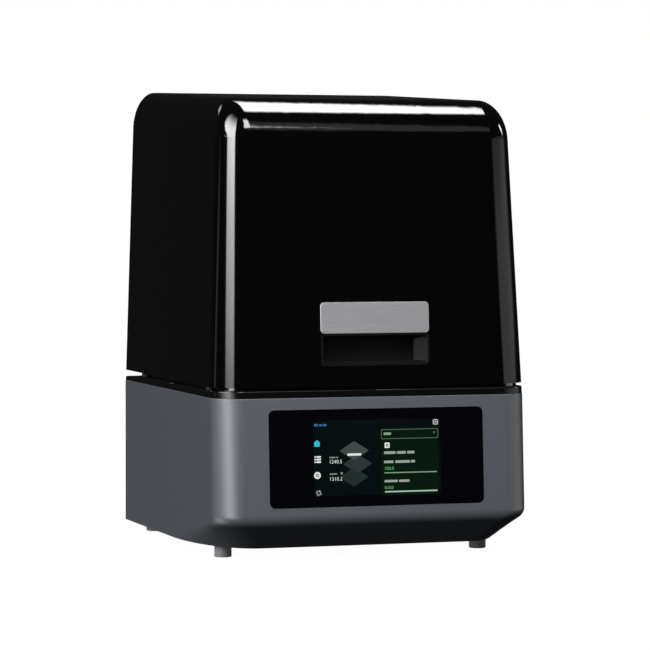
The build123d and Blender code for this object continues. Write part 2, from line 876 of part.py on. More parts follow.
with BuildPart() as heat_sink:
    with Locations((0, vat_y, sink_top_z)):
        Box(sink_width, sink_depth, sink_base, align=hung_below)
    fin_pitch = (sink_width - sink_fin_thickness) / (sink_fin_count - 1)
    with Locations((0, vat_y, sink_bottom_z)):
        with GridLocations(fin_pitch, 0, sink_fin_count, 1):
            Box(sink_fin_thickness, sink_depth, sink_fin_height, align=on_top)


def fan_frame(plane, size, depth):
    """Square fan frame, its far face on the plane, with a hub and pin held by three struts."""
    bore = size * fan_bore_share
    hub = size * fan_hub_share
    strut = depth * fan_strut_share
    with BuildSketch(plane) as frame:
        RectangleRounded(size, size, size * fan_corner_share)
        Circle(bore, mode=Mode.SUBTRACT)
    extrude(frame.sketch, amount=depth)
    with BuildSketch(plane) as spider:
        Circle(hub)
        with PolarLocations(0, 3):
            with Locations(((bore + hub) / 2, 0)):
                Rectangle(bore - hub + fan_strut_overlap, strut)
    extrude(spider.sketch, amount=strut)
    with BuildSketch(plane.offset(strut)) as pin:
        Circle(hub * fan_pin_share)
    extrude(pin.sketch, amount=depth / 2)


def fan_rotor(plane, size, depth):
    """Cup-shaped hub with blades, running on the pin of the frame's hub."""
    blade = size * fan_blade_share
    hub = size * fan_hub_share
    lift = depth * fan_rotor_lift_share
    with BuildSketch(plane.offset(lift)) as cup:
        Circle(hub)
        Circle(hub * fan_pin_share + running_fit, mode=Mode.SUBTRACT)
    extrude(cup.sketch, amount=depth * fan_cup_share)
    with BuildSketch(plane.offset(lift + depth * fan_cup_share)) as cap:
        Circle(hub)
    extrude(cap.sketch, amount=depth * fan_cap_share)
    with BuildSketch(plane.offset(lift)) as blades:
        with PolarLocations(0, fan_blade_count):
            with Locations(((hub + blade) / 2 - fan_blade_root, 0)):
                Rectangle(blade - hub, lift, rotation=fan_blade_slant)
    extrude(blades.sketch, amount=depth * fan_cup_share)


light_fan_plane = Plane(origin=(0, vat_y, fan_bottom_z), x_dir=(1, 0, 0), z_dir=(0, 0, 1))
exhaust_plane = Plane(
    origin=(exhaust_fan_x, rear_inside_y - exhaust_fan_depth, exhaust_fan_z),
    x_dir=(-1, 0, 0),
    z_dir=(0, 1, 0),
)
with BuildPart() as light_fan_frame:
    fan_frame(light_fan_plane, light_fan_width, light_fan_depth)

with BuildPart() as light_fan_rotor:
    fan_rotor(light_fan_plane, light_fan_width, light_fan_depth)

with BuildPart() as exhaust_fan_frame:
    fan_frame(exhaust_plane, exhaust_fan_width, exhaust_fan_depth)

with BuildPart() as exhaust_fan_rotor:
    fan_rotor(exhaust_plane, exhaust_fan_width, exhaust_fan_depth)

# Electronics on the floor
supply_x = -(half_width - casing_wall - supply_side_gap - supply_width / 2)
board_x = half_width - casing_wall - board_side_gap - board_width / 2
with BuildPart() as power_supply:
    with Locations((supply_x, vat_y, floor_top_z)):
        Box(supply_width, supply_depth, supply_height, align=on_top)
    with Locations((supply_x, vat_y + supply_depth / 2, floor_top_z + supply_height)):
        Box(supply_terminal_width, 2 * supply_terminal_depth, supply_height, mode=Mode.SUBTRACT)

board_z = floor_top_z + standoff_height
with BuildPart() as board_standoffs:
    with Locations((board_x, vat_y, floor_top_z)):
        with GridLocations(board_width - 4 * standoff_radius, board_depth - 4 * standoff_radius, 2, 2):
            Cylinder(standoff_radius, standoff_height, align=on_top)

with BuildPart() as mainboard:
    with Locations((board_x, vat_y, board_z)):
        Box(board_width, board_depth, board_thickness, align=on_top)
    board_face = board_z + board_thickness
    with Locations((board_x - chip_cooler_shift, vat_y, board_face)):
        Box(chip_cooler_width, chip_cooler_width, chip_cooler_height, align=on_top)
    with Locations((board_x + plug_shift, vat_y, board_face)):
        with GridLocations(0, plug_spacing, 1, plug_count):
            Box(plug_width, plug_length, plug_height, align=on_top)
    with Locations((board_x + capacitor_shift_x, vat_y + capacitor_shift_y, board_face)):
        with GridLocations(capacitor_spacing, capacitor_spacing, 2, 3):
            Cylinder(capacitor_radius, capacitor_height, align=on_top)
    with Locations((board_x - driver_shift_x, vat_y - driver_shift_y, board_face)):
        with GridLocations(driver_spacing, 0, 3, 1):
            Box(driver_width, driver_width, board_thickness, align=on_top)

# Mains inlet: a socket with three pins
with BuildPart() as power_inlet:
    with Locations((inlet_x, rear_y, inlet_z)):
        Box(inlet_flange_width, inlet_flange_thickness, inlet_flange_height, align=to_rear)
        Box(inlet_body_width, inlet_length, inlet_body_height, align=to_front)
    outer_y = rear_y + inlet_flange_thickness
    with Locations((inlet_x, outer_y, inlet_z)):
        Box(inlet_socket_width, inlet_socket_depth, inlet_socket_height, align=to_front, mode=Mode.SUBTRACT)
    pin_y = outer_y - inlet_socket_depth
    with Locations(
        (inlet_x - inlet_pin_spacing, pin_y, inlet_z - inlet_pin_shift),
        (inlet_x, pin_y, inlet_z + inlet_pin_shift),
        (inlet_x + inlet_pin_spacing, pin_y, inlet_z - inlet_pin_shift),
    ):
        Box(inlet_pin_width, inlet_pin_length, inlet_pin_height, align=to_rear)

# Rocker switch beside the inlet
switch_axis_y = rear_y - switch_axis_depth
with BuildPart() as switch_bezel:
    with Locations((switch_x, rear_y, inlet_z)):
        Box(
            switch_width + 2 * switch_bezel_rim,
            inlet_flange_thickness,
            switch_height + 2 * switch_bezel_rim,
            align=to_rear,
        )
        Box(switch_width, switch_depth, switch_height, align=to_front)
        Box(
            rocker_width + 4 * panel_fit,
            2 * (switch_depth - switch_axis_depth),
            rocker_height + 4 * panel_fit,
            mode=Mode.SUBTRACT,
        )
    with Locations((switch_x, switch_axis_y, inlet_z)):
        Cylinder(rocker_pin_radius, rocker_height + 6 * panel_fit)

with BuildPart() as switch_rocker:
    with BuildSketch(Plane.XY.offset(inlet_z)):
        with Locations((switch_x, switch_axis_y)):
            Circle(rocker_radius)
        with Locations((switch_x, switch_axis_y + rocker_radius)):
            Circle(rocker_radius / 2, mode=Mode.SUBTRACT)
    extrude(amount=rocker_height / 2, both=True)
    with Locations((switch_x, switch_axis_y, inlet_z)):
        Cylinder(rocker_pin_radius + running_fit, 2 * rocker_height, mode=Mode.SUBTRACT)

# Data sockets
with BuildPart() as ethernet_socket:
    with Locations((ethernet_x, rear_y, inlet_z)):
        Box(ethernet_width, socket_depth, ethernet_height, align=to_front)
        Box(
            ethernet_width - 2 * ethernet_wall,
            2 * (socket_depth - socket_floor),
            ethernet_height - 2 * ethernet_floor,
            mode=Mode.SUBTRACT,
        )

with BuildPart() as usb_socket:
    with Locations((usb_x, rear_y, inlet_z)):
        Box(usb_width, socket_depth, usb_height, align=to_front)
        Box(
            usb_width - 2 * usb_wall,
            2 * (socket_depth - socket_floor),
            usb_height - 2 * usb_wall,
            mode=Mode.SUBTRACT,
        )
    with Locations((usb_x, rear_y - socket_depth + usb_tongue_inset, inlet_z + usb_tongue_rise)):
        Box(
            usb_width - 4 * usb_wall,
            socket_depth - socket_floor - usb_wall,
            usb_tongue_thickness,
            align=to_rear,
        )

# Lift: motor under the machine plate, column above it
with BuildPart() as z_motor:
    with Locations((0, screw_y, machine_bottom_z)):
        Box(motor_width, motor_width, motor_length, align=hung_below)
        Cylinder(motor_boss_radius, motor_boss_height, align=on_top)
        Cylinder(screw_radius + running_fit, 2 * screw_motor_depth, mode=Mode.SUBTRACT)
    chamfer(z_motor.edges().filter_by(Axis.Z).filter_by(GeomType.LINE), motor_corner_cut)

with BuildPart() as z_column:
    with BuildSketch(Plane.XY.offset(machine_top_z)):
        with Locations((0, column_mid_y)):
            Rectangle(column_width, column_depth)
        with Locations((0, column_front_y)):
            Rectangle(column_channel_width, 2 * column_channel_depth, mode=Mode.SUBTRACT)
        with Locations((0, column_mid_y)):
            with GridLocations(column_width - column_cavity - column_cavity_margin, 0, 2, 1):
                Rectangle(column_cavity, column_cavity_depth, mode=Mode.SUBTRACT)
    extrude(amount=column_top_z - machine_top_z)
    with BuildSketch(Plane.XY.offset(machine_top_z)):
        with Locations((0, column_mid_y)):
            Rectangle(column_foot_width, column_depth)
            Rectangle(column_width, column_depth, mode=Mode.SUBTRACT)
        with Locations(*column_screw_places):
            Circle(column_screw_radius + panel_fit, mode=Mode.SUBTRACT)
    extrude(amount=column_foot_height)

with BuildPart() as column_screws:
    with Locations(*[(x, y, machine_top_z + column_foot_height) for x, y in column_screw_places]):
        Cylinder(column_screw_head_radius, column_screw_head_height, align=on_top)
        Cylinder(column_screw_radius, column_foot_height + machine_plate_thickness, align=hung_below)

rail_bottom_z = machine_top_z + column_foot_height + rail_bottom_margin
rail_top_z = column_top_z - rail_top_margin
with BuildPart() as z_rails:
    with Locations((0, column_front_y - rail_depth / 2, rail_bottom_z)):
        with GridLocations(2 * rail_spread, 0, 2, 1):
            Box(rail_width, rail_depth, rail_top_z - rail_bottom_z, align=on_top)

with BuildPart() as screw_bearing_block:
    with Locations((0, column_front_y + column_channel_depth / 2, column_top_z - screw_top_margin)):
        Box(
            column_channel_width - 2 * bearing_block_clear,
            column_channel_depth,
            bearing_block_height,
            align=hung_below,
        )
    with Locations((0, screw_y, column_top_z)):
        Cylinder(screw_radius + running_fit, 4 * bearing_block_height, mode=Mode.SUBTRACT)

screw_bottom_z = machine_bottom_z - screw_motor_depth + screw_end_clear
with BuildPart() as lead_screw:
    with Locations((0, screw_y, screw_bottom_z)):
        Cylinder(screw_radius, column_top_z - screw_bottom_z, align=on_top)

# Carriage, arm and platform, modelled at the parking height
neck_top_z = platform_bottom_z + platform_thickness + neck_height
arm_top_z = neck_top_z + arm_thickness
carriage_z = neck_top_z + carriage_height * carriage_rise_share
with BuildPart() as carriage_plate:
    with Locations((0, (carriage_front_y + carriage_rear_y) / 2, carriage_z)):
        Box(carriage_width, carriage_thickness, carriage_height)
    lug_depth = screw_y + nut_radius + nut_lug_wall - carriage_rear_y
    with Locations((0, carriage_rear_y, carriage_z)):
        Box(nut_lug_width, lug_depth, nut_lug_height, align=to_rear)
    with Locations((0, screw_y, carriage_z)):
        Cylinder(nut_radius, 2 * nut_lug_height, mode=Mode.SUBTRACT)

with BuildPart() as lead_nut:
    nut_low_z = carriage_z - nut_lug_height / 2
    with Locations((0, screw_y, nut_low_z)):
        Cylinder(nut_radius, nut_height - nut_flange_height, align=on_top)
    with Locations((0, screw_y, carriage_z + nut_lug_height / 2)):
        Cylinder(nut_flange_radius, nut_flange_height, align=on_top)
    with Locations((0, screw_y, carriage_z)):
        Cylinder(screw_radius + running_fit, 3 * nut_height, mode=Mode.SUBTRACT)

with BuildPart() as rail_blocks:
    with Locations((0, carriage_rear_y, carriage_z)):
        with GridLocations(2 * rail_spread, 0, 2, 1):
            Box(block_width, block_depth, block_length, align=to_rear)
    with Locations((0, column_front_y - rail_depth - running_fit, carriage_z)):
        with GridLocations(2 * rail_spread, 0, 2, 1):
            Box(
                rail_width + 2 * running_fit,
                rail_depth,
                2 * block_length,
                align=to_rear,
                mode=Mode.SUBTRACT,
            )

arm_front_y = vat_y - arm_front_reach
with BuildPart() as build_arm:
    with Locations((0, (arm_front_y + carriage_front_y) / 2, neck_top_z)):
        Box(arm_width, carriage_front_y - arm_front_y, arm_thickness, align=on_top)
    fillet(build_arm.edges().filter_by(Axis.Z).group_by(Axis.Y)[0], arm_nose_radius)
    with Locations((0, carriage_front_y - arm_flange_thickness / 2, neck_top_z)):
        Box(arm_flange_width, arm_flange_thickness, arm_flange_height, align=on_top)
    with BuildSketch(Plane.YZ):
        with BuildLine():
            Polyline(
                (carriage_front_y - arm_flange_thickness, arm_top_z),
                (carriage_front_y - arm_flange_thickness, neck_top_z + arm_flange_height),
                (carriage_front_y - arm_flange_height, arm_top_z),
                close=True,
            )
        make_face()
    extrude(amount=arm_thickness / 3, both=True)
    with Locations((0, vat_y, neck_top_z)):
        Cylinder(knob_stud_radius + running_fit, 4 * arm_thickness, mode=Mode.SUBTRACT)
        with GridLocations(2 * level_screw_spread_x, 2 * level_screw_spread_y, 2, 2):
            Cylinder(level_screw_radius + running_fit, 4 * arm_thickness, mode=Mode.SUBTRACT)

with BuildPart() as build_platform:
    with Locations((0, vat_y, platform_bottom_z)):
        Box(platform_width, platform_depth, platform_thickness, align=on_top)
    fillet(build_platform.edges().filter_by(Axis.Z), vat_corner / 2)
    chamfer(build_platform.edges().group_by(Axis.Z)[-1], platform_thickness / 3)
    with Locations((0, vat_y, platform_bottom_z + platform_thickness)):
        Box(neck_width, neck_width, neck_height, align=on_top)
    with Locations((0, vat_y, neck_top_z)):
        Cylinder(knob_stud_radius + running_fit, knob_stud_length, align=hung_below, mode=Mode.SUBTRACT)

with BuildPart() as levelling_screws:
    with Locations((0, vat_y, neck_top_z)):
        with GridLocations(2 * level_screw_spread_x, 2 * level_screw_spread_y, 2, 2):
            Cylinder(level_screw_radius, arm_thickness, align=on_top)
    with Locations((0, vat_y, arm_top_z)):
        with GridLocations(2 * level_screw_spread_x, 2 * level_screw_spread_y, 2, 2):
            Cylinder(level_screw_head_radius, level_screw_head_height, align=on_top)

knob_bottom_z = arm_top_z + panel_fit
with BuildPart() as platform_knob:
    with BuildSketch(Plane.XY.offset(knob_bottom_z)):
        with Locations((0, vat_y)):
            Circle(knob_radius)
            with PolarLocations(knob_radius + knob_scallop_radius / 2, knob_scallop_count):
                Circle(knob_scallop_radius, mode=Mode.SUBTRACT)
    extrude(amount=knob_height)
    with Locations((0, vat_y, knob_bottom_z)):
        Cylinder(knob_stud_radius, knob_stud_length + knob_stud_sink, align=hung_below)
    fillet(platform_knob.edges().group_by(Axis.Z)[-1], knob_edge_radius)

# Resin vat on the exposure screen
vat_bottom_z = deck_top_z
vat_frame_z = vat_bottom_z + vat_ring_height
vat_top_z = vat_bottom_z + vat_height
flange_top_z = vat_frame_z + vat_flange_height
with BuildPart() as vat_ring:
    with BuildSketch(Plane.XY.offset(vat_bottom_z)):
        with Locations((0, vat_y)):
            RectangleRounded(vat_width, vat_depth, vat_corner)
            Rectangle(vat_width - 2 * vat_ring_wall, vat_depth - 2 * vat_ring_wall, mode=Mode.SUBTRACT)
    extrude(amount=vat_ring_height)

with BuildPart() as vat_film:
    with Locations((0, vat_y, vat_bottom_z)):
        Box(
            vat_width - 2 * vat_ring_wall - 2 * panel_fit,
            vat_depth - 2 * vat_ring_wall - 2 * panel_fit,
            vat_film_thickness,
            align=on_top,
        )

with BuildPart() as vat_frame:
    with BuildSketch(Plane.XY.offset(vat_frame_z)):
        with Locations((0, vat_y)):
            RectangleRounded(vat_width, vat_depth, vat_corner)
    extrude(amount=vat_top_z - vat_frame_z)
    with BuildSketch(Plane.XY.offset(vat_frame_z)):
        with Locations((0, vat_y)):
            Rectangle(vat_width + 2 * vat_flange_reach, vat_flange_length)
    extrude(amount=vat_flange_height)
    with Locations((0, vat_y - vat_depth / 2 + vat_grip_reach, vat_top_z)):
        Box(vat_grip_width, 4 * vat_grip_reach, vat_grip_thickness, align=hung_below)
    with Locations((0, vat_y, vat_bottom_z + vat_film_thickness)):
        Box(
            vat_width - 2 * vat_wall + 2 * vat_lip_wall,
            vat_depth - 2 * vat_wall + 2 * vat_lip_wall,
            vat_ring_height,
            align=on_top,
        )
    with BuildSketch(Plane.XY.offset(vat_bottom_z)):
        with Locations((0, vat_y)):
            RectangleRounded(vat_width - 2 * vat_wall, vat_depth - 2 * vat_wall, vat_corner)
    extrude(amount=2 * vat_height, mode=Mode.SUBTRACT)

# Clamps that hold the vat down by its side flanges
clamp_x = vat_width / 2 + vat_flange_reach + clamp_offset
clamp_bottom_z = flange_top_z + panel_fit
clamp_top_z = clamp_bottom_z + clamp_hub_height
with BuildPart() as clamp_screws:
    for side in (-1, 1):
        with Locations((side * clamp_x, vat_y, deck_top_z)):
            Cylinder(clamp_post_radius, flange_top_z + running_fit - deck_top_z, align=on_top)
        with Locations((side * clamp_x, vat_y, flange_top_z)):
            Cylinder(clamp_bolt_radius, clamp_hub_height + 2 * panel_fit, align=on_top)
        with Locations((side * clamp_x, vat_y, clamp_top_z + 2 * running_fit)):
            Cylinder(clamp_head_radius, clamp_head_height, align=on_top)


def vat_clamp(side):
    """Clamp on its shoulder screw: a tongue over the vat's flange and a lever outwards."""
    with Locations((side * clamp_x, vat_y, clamp_bottom_z)):
        Cylinder(clamp_hub_radius, clamp_hub_height, align=on_top)
    with Locations((side * (clamp_x - clamp_tongue_reach / 2), vat_y, clamp_bottom_z)):
        Box(clamp_tongue_reach, clamp_tongue_width, clamp_tongue_height, align=on_top)
    with Locations((side * (clamp_x + clamp_lever_reach / 2), vat_y, clamp_top_z)):
        Box(clamp_lever_reach, clamp_lever_width, clamp_lever_height, align=hung_below)
    with Locations((side * clamp_x, vat_y, clamp_bottom_z)):
        Cylinder(clamp_bolt_radius + running_fit, 4 * clamp_hub_height, mode=Mode.SUBTRACT)


with BuildPart() as vat_clamp_left:
    vat_clamp(-1)

with BuildPart() as vat_clamp_right:
    vat_clamp(1)

# Hood: shell with a seat for the handle plate, a window for the pocket and, at the rear, a notch
# over each hinge bracket's foot
with BuildPart() as hood_shell:
    hood_body(0, hood_bottom_z)
    hood_body(hood_wall, hood_bottom_z - hood_wall)
    with Locations(*[(side * hinge_spread, hinge_y, hood_bottom_z) for side in (-1, 1)]):
        Box(
            hinge_foot_width + 2 * hinge_notch_side,
            casing_depth / 2,
            2 * hinge_notch_rise,
            align=(Align.CENTER, Align.MIN, Align.CENTER),
            mode=Mode.SUBTRACT,
        )
    with BuildSketch(handle_plane):
        RectangleRounded(
            handle_width + 2 * seat_fit, plate_top_z - plate_bottom_z + 2 * seat_fit, plate_corner
        )
    extrude(amount=-plate_sink, mode=Mode.SUBTRACT)
    with BuildSketch(pocket_plane):
        RectangleRounded(handle_width + 2 * seat_fit, pocket_height, pocket_corner)
    extrude(amount=-2 * hood_wall, mode=Mode.SUBTRACT)
    with BuildSketch(hood_rear_plane):
        with Locations(*hood_screw_places):
            Circle(hinge_screw_radius + panel_fit)
    extrude(amount=-hood_screw_bite, mode=Mode.SUBTRACT)

with BuildPart() as handle_plate:
    with BuildSketch(handle_plane.offset(-plate_sink)):
        RectangleRounded(handle_width, plate_top_z - plate_bottom_z, plate_corner)
    extrude(amount=plate_thickness)
    fillet(handle_plate.faces().sort_by(Axis.Y)[0].edges(), plate_thickness / 5)

with BuildPart() as handle_pocket:
    for skin, action in ((0, Mode.ADD), (pocket_wall, Mode.SUBTRACT)):
        lip = 0.0 if skin == 0 else pocket_mouth_lip
        with BuildSketch(pocket_plane.offset(lip), mode=Mode.PRIVATE) as mouth:
            RectangleRounded(
                handle_width - 2 * skin, pocket_height - 2 * seat_fit - 2 * skin, pocket_corner - skin
            )
        with BuildSketch(pocket_plane.offset(skin - pocket_depth), mode=Mode.PRIVATE) as back:
            RectangleRounded(
                handle_width - 2 * pocket_slope - 2 * skin,
                pocket_height - pocket_slope - 2 * skin,
                pocket_corner - skin,
            )
        loft([mouth.sketch.face(), back.sketch.face()], ruled=True, mode=action)
    with BuildSketch(pocket_plane.offset(-hood_wall)):
        RectangleRounded(handle_width + 2 * pocket_flange, pocket_height + 2 * pocket_flange, pocket_corner)
        RectangleRounded(
            handle_width - 2 * pocket_flange_inset,
            pocket_height - 2 * pocket_flange_inset,
            pocket_corner,
            mode=Mode.SUBTRACT,
        )
    extrude(amount=-pocket_wall)

# Hood hinge: a bracket on the deck each side, and a forked bracket on the hood's rear wall
hinge_ear_gap = knuckle_width / 2 + panel_fit


def hinge_bracket(side):
    """Deck bracket: foot, upright and a web back to the knuckle round the hinge pin."""
    x = side * hinge_spread
    foot_front_y = hinge_y - hinge_foot_clear - hinge_foot_reach
    with Locations((x, foot_front_y + hinge_foot_reach / 2, deck_top_z)):
        Box(hinge_foot_width, hinge_foot_reach, hinge_foot_thickness, align=on_top)
    with Locations((x, foot_front_y + hinge_upright / 2, deck_top_z)):
        Box(knuckle_width, hinge_upright, hinge_rise + hinge_web_half, align=on_top)
    with Locations((x, foot_front_y, hinge_z)):
        Box(knuckle_width, hinge_y - foot_front_y, 2 * hinge_web_half, align=to_rear)
    with Locations((x, hinge_y, hinge_z)):
        with Locations(Rotation(0, 90, 0)):
            Cylinder(knuckle_radius, knuckle_width)
            Cylinder(hinge_pin_radius + running_fit / 2, 2 * knuckle_width, mode=Mode.SUBTRACT)
    with Locations((x, hinge_foot_y, deck_top_z)):
        with GridLocations(hinge_screw_spacing, 0, 2, 1):
            Cylinder(hinge_screw_radius + panel_fit, 4 * hinge_foot_thickness, mode=Mode.SUBTRACT)


def hood_bracket(side):
    """Hood bracket: a plate on the rear wall and two ears that hold the hinge pin."""
    x = side * hinge_spread
    with BuildSketch(hood_rear_plane) as plate:
        with Locations((x, (hood_plate_above - hood_plate_below) / 2)):
            Rectangle(hood_plate_width, hood_plate_above + hood_plate_below)
    extrude(plate.sketch, amount=hood_plate_thickness)
    for end in (-1, 1):
        with BuildSketch(Plane.YZ.offset(x + end * (hinge_ear_gap + hinge_ear / 2))) as ear:
            with Locations((hinge_y, hinge_z)):
                Circle(knuckle_radius)
            with Locations((hinge_y, hinge_z)):
                Rectangle(
                    hinge_rear_setback - hood_wall - hood_plate_thickness / 2,
                    2 * knuckle_radius,
                    align=(Align.MIN, Align.CENTER),
                )
        extrude(ear.sketch, amount=hinge_ear / 2, both=True)
    with Locations((x, hinge_y, hinge_z)):
        with Locations(Rotation(0, 90, 0)):
            Cylinder(hinge_pin_radius, 4 * knuckle_width, mode=Mode.SUBTRACT)
    with BuildSketch(hood_rear_plane) as holes:
        with Locations(*hood_screw_places):
            Circle(hinge_screw_radius + panel_fit)
    extrude(holes.sketch, amount=hood_plate_thickness, mode=Mode.SUBTRACT)


with BuildPart() as hinge_bracket_left:
    hinge_bracket(-1)

with BuildPart() as hinge_bracket_right:
    hinge_bracket(1)

with BuildPart() as hood_bracket_left:
    hood_bracket(-1)

with BuildPart() as hood_bracket_right:
    hood_bracket(1)

with BuildPart() as hinge_pins:
    for side in (-1, 1):
        with Locations((side * hinge_spread, hinge_y, hinge_z)):
            with Locations(Rotation(0, 90, 0)):
                Cylinder(hinge_pin_radius, 2 * (hinge_ear_gap + hinge_ear))

with BuildPart() as hinge_screws:
    with Locations(*[(x, y, deck_top_z + hinge_foot_thickness) for x, y in hinge_screw_places]):
        Cylinder(hinge_screw_head_radius, hinge_screw_radius, align=on_top)
        Cylinder(hinge_screw_radius, hinge_foot_thickness + deck_skin, align=hung_below)

with BuildPart() as hood_bracket_screws:
    with BuildSketch(hood_rear_plane.offset(hood_plate_thickness)):
        with Locations(*hood_screw_places):
            Circle(hinge_screw_head_radius)
    extrude(amount=hinge_screw_radius)
    with BuildSketch(hood_rear_plane.offset(hood_plate_thickness)):
        with Locations(*hood_screw_places):
            Circle(hinge_screw_radius)
    extrude(amount=-hood_plate_thickness - hood_screw_bite)

pieces = {
    "base_housing": base_housing,
    "bottom_plate": bottom_plate,
    "bottom_screws": bottom_screws,
    "feet": feet,
    "foot_studs": foot_studs,
    "frame_posts": frame_posts,
    "machine_plate": machine_plate,
    "deck_cover": deck_cover,
    "deck_screws": deck_screws,
    "hood_bumpers": hood_bumpers,
    "display_glass": display_glass,
    "display_module": display_module,
    "display_bracket": display_bracket,
    "screen_frame": screen_frame,
    "exposure_screen": exposure_screen,
    "lens_plate": lens_plate,
    "light_box": light_box,
    "led_board": led_board,
    "heat_sink": heat_sink,
    "light_fan_frame": light_fan_frame,
    "light_fan_rotor": light_fan_rotor,
    "exhaust_fan_frame": exhaust_fan_frame,
    "exhaust_fan_rotor": exhaust_fan_rotor,
    "power_supply": power_supply,
    "board_standoffs": board_standoffs,
    "mainboard": mainboard,
    "power_inlet": power_inlet,
    "switch_bezel": switch_bezel,
    "switch_rocker": switch_rocker,
    "ethernet_socket": ethernet_socket,
    "usb_socket": usb_socket,
    "z_motor": z_motor,
    "z_column": z_column,
    "column_screws": column_screws,
    "z_rails": z_rails,
    "screw_bearing_block": screw_bearing_block,
    "lead_screw": lead_screw,
    "carriage_plate": carriage_plate,
    "lead_nut": lead_nut,
    "rail_blocks": rail_blocks,
    "build_arm": build_arm,
    "build_platform": build_platform,
    "levelling_screws": levelling_screws,
    "platform_knob": platform_knob,
    "vat_ring": vat_ring,
    "vat_film": vat_film,
    "vat_frame": vat_frame,
    "clamp_screws": clamp_screws,
    "vat_clamp_left": vat_clamp_left,
    "vat_clamp_right": vat_clamp_right,
    "hood_shell": hood_shell,
    "handle_plate": handle_plate,
    "handle_pocket": handle_pocket,
    "hinge_bracket_left": hinge_bracket_left,
    "hinge_bracket_right": hinge_bracket_right,
    "hood_bracket_left": hood_bracket_left,
    "hood_bracket_right": hood_bracket_right,
    "hinge_pins": hinge_pins,
    "hinge_screws": hinge_screws,
    "hood_bracket_screws": hood_bracket_screws,
}
os.makedirs("parts", exist_ok=True)
for name, piece in pieces.items():
    piece.part.label = name
    export_step(piece.part, f"parts/{name}.step")
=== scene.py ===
from math import cos, pi, radians, sin

import bpy
from mathutils import Matrix, Vector


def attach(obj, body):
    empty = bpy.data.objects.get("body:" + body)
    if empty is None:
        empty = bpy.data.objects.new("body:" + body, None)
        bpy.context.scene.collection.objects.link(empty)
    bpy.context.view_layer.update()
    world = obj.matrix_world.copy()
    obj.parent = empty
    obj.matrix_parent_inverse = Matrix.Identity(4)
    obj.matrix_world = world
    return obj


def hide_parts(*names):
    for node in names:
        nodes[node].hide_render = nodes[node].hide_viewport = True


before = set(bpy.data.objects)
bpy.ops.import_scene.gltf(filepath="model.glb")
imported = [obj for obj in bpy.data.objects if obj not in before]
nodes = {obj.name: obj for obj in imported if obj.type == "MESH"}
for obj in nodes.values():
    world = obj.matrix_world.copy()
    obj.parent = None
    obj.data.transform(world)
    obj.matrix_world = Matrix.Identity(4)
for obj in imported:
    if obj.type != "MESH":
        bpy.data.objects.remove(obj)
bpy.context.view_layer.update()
mm = 0.001

# Camera: the photograph's own viewpoint, left of the middle and a little above the display,
# with a long lens. Its place, turn and lens were fitted to the casing's straight edges.
CAMERA_PLACE = (-1.19586, -3.60415, 0.41747)
CAMERA_YAW = radians(18.4498)
CAMERA_PITCH = radians(-2.3534)
CAMERA_ROLL = radians(0.118)
SENSOR_MM = 36
LENS_MM = 174.73
FURTHEST_SEEN = 60

ahead = Vector((
    sin(CAMERA_YAW) * cos(CAMERA_PITCH),
    cos(CAMERA_YAW) * cos(CAMERA_PITCH),
    sin(CAMERA_PITCH),
))
level = Vector((cos(CAMERA_YAW), -sin(CAMERA_YAW), 0))
upright = level.cross(ahead)
across = cos(CAMERA_ROLL) * level + sin(CAMERA_ROLL) * upright
above = cos(CAMERA_ROLL) * upright - sin(CAMERA_ROLL) * level
camera = bpy.data.objects.new("camera", bpy.data.cameras.new("camera"))
bpy.context.scene.collection.objects.link(camera)
camera.data.sensor_width = SENSOR_MM
camera.data.lens = LENS_MM
camera.data.clip_end = FURTHEST_SEEN
facing = Matrix((across, above, -ahead)).transposed().to_4x4()
camera.matrix_world = Matrix.Translation(CAMERA_PLACE) @ facing
bpy.context.scene.camera = camera
bpy.context.scene.view_settings.view_transform = "Standard"


# Studio: a dark room with softboxes, as directions seen from the machine. A tall one stands at the
# front left and one lies overhead. Smaller ones give the paint's soft light and the hood's glints.
# Azimuth runs from the front, positive to the right, and elevation up from level.
def linear(code):
    """Linear colour of an sRGB hex value."""
    steps = [int(code[i:i + 2], 16) / 255 for i in (1, 3, 5)]
    return (*[c / 12.92 if c <= 0.04045 else ((c + 0.055) / 1.055) ** 2.4 for c in steps], 1)


def add_node(tree, kind, inputs={}, links={}, **settings):
    """Adds a node with its settings, its input values and its links."""
    added = tree.nodes.new(kind)
    for name, value in settings.items():
        setattr(added, name, value)
    for name, value in inputs.items():
        added.inputs[name].default_value = value
    for name, (source, output) in links.items():
        tree.links.new(source.outputs[output], added.inputs[name])
    return added


studio = bpy.data.worlds.new("studio")
studio.use_nodes = True
room = studio.node_tree
room.nodes.clear()
bpy.context.scene.world = studio
heading = add_node(room, "ShaderNodeTexCoord")
parts = add_node(room, "ShaderNodeSeparateXYZ", links={"Vector": (heading, "Generated")})
toward_front = add_node(
    room, "ShaderNodeMath", operation="MULTIPLY", inputs={1: -1.0}, links={0: (parts, "Y")}
)
azimuth = add_node(
    room, "ShaderNodeMath", operation="ARCTAN2", links={0: (parts, "X"), 1: (toward_front, 0)}
)
elevation = add_node(room, "ShaderNodeMath", operation="ARCSINE", links={0: (parts, "Z")})
# Two directions that lean over: the azimuth plus a share of the elevation.
STRIP_LEAN = 4.2
HEAD_LEAN = 1.1
strip_side, head_side = [
    add_node(
        room,
        "ShaderNodeMath",
        operation="MULTIPLY_ADD",
        inputs={1: share},
        links={0: (elevation, 0), 2: (azimuth, 0)},
    )
    for share in (STRIP_LEAN, HEAD_LEAN)
]
# A place on a flat ceiling one unit up, for the directions that point up to it.
LEAST_HEIGHT = 0.05
height = add_node(
    room, "ShaderNodeMath", operation="MAXIMUM", inputs={1: LEAST_HEIGHT}, links={0: (parts, "Z")}
)
over_x, over_y = [
    add_node(room, "ShaderNodeMath", operation="DIVIDE", links={0: (parts, axis), 1: (height, 0)})
    for axis in ("X", "Y")
]


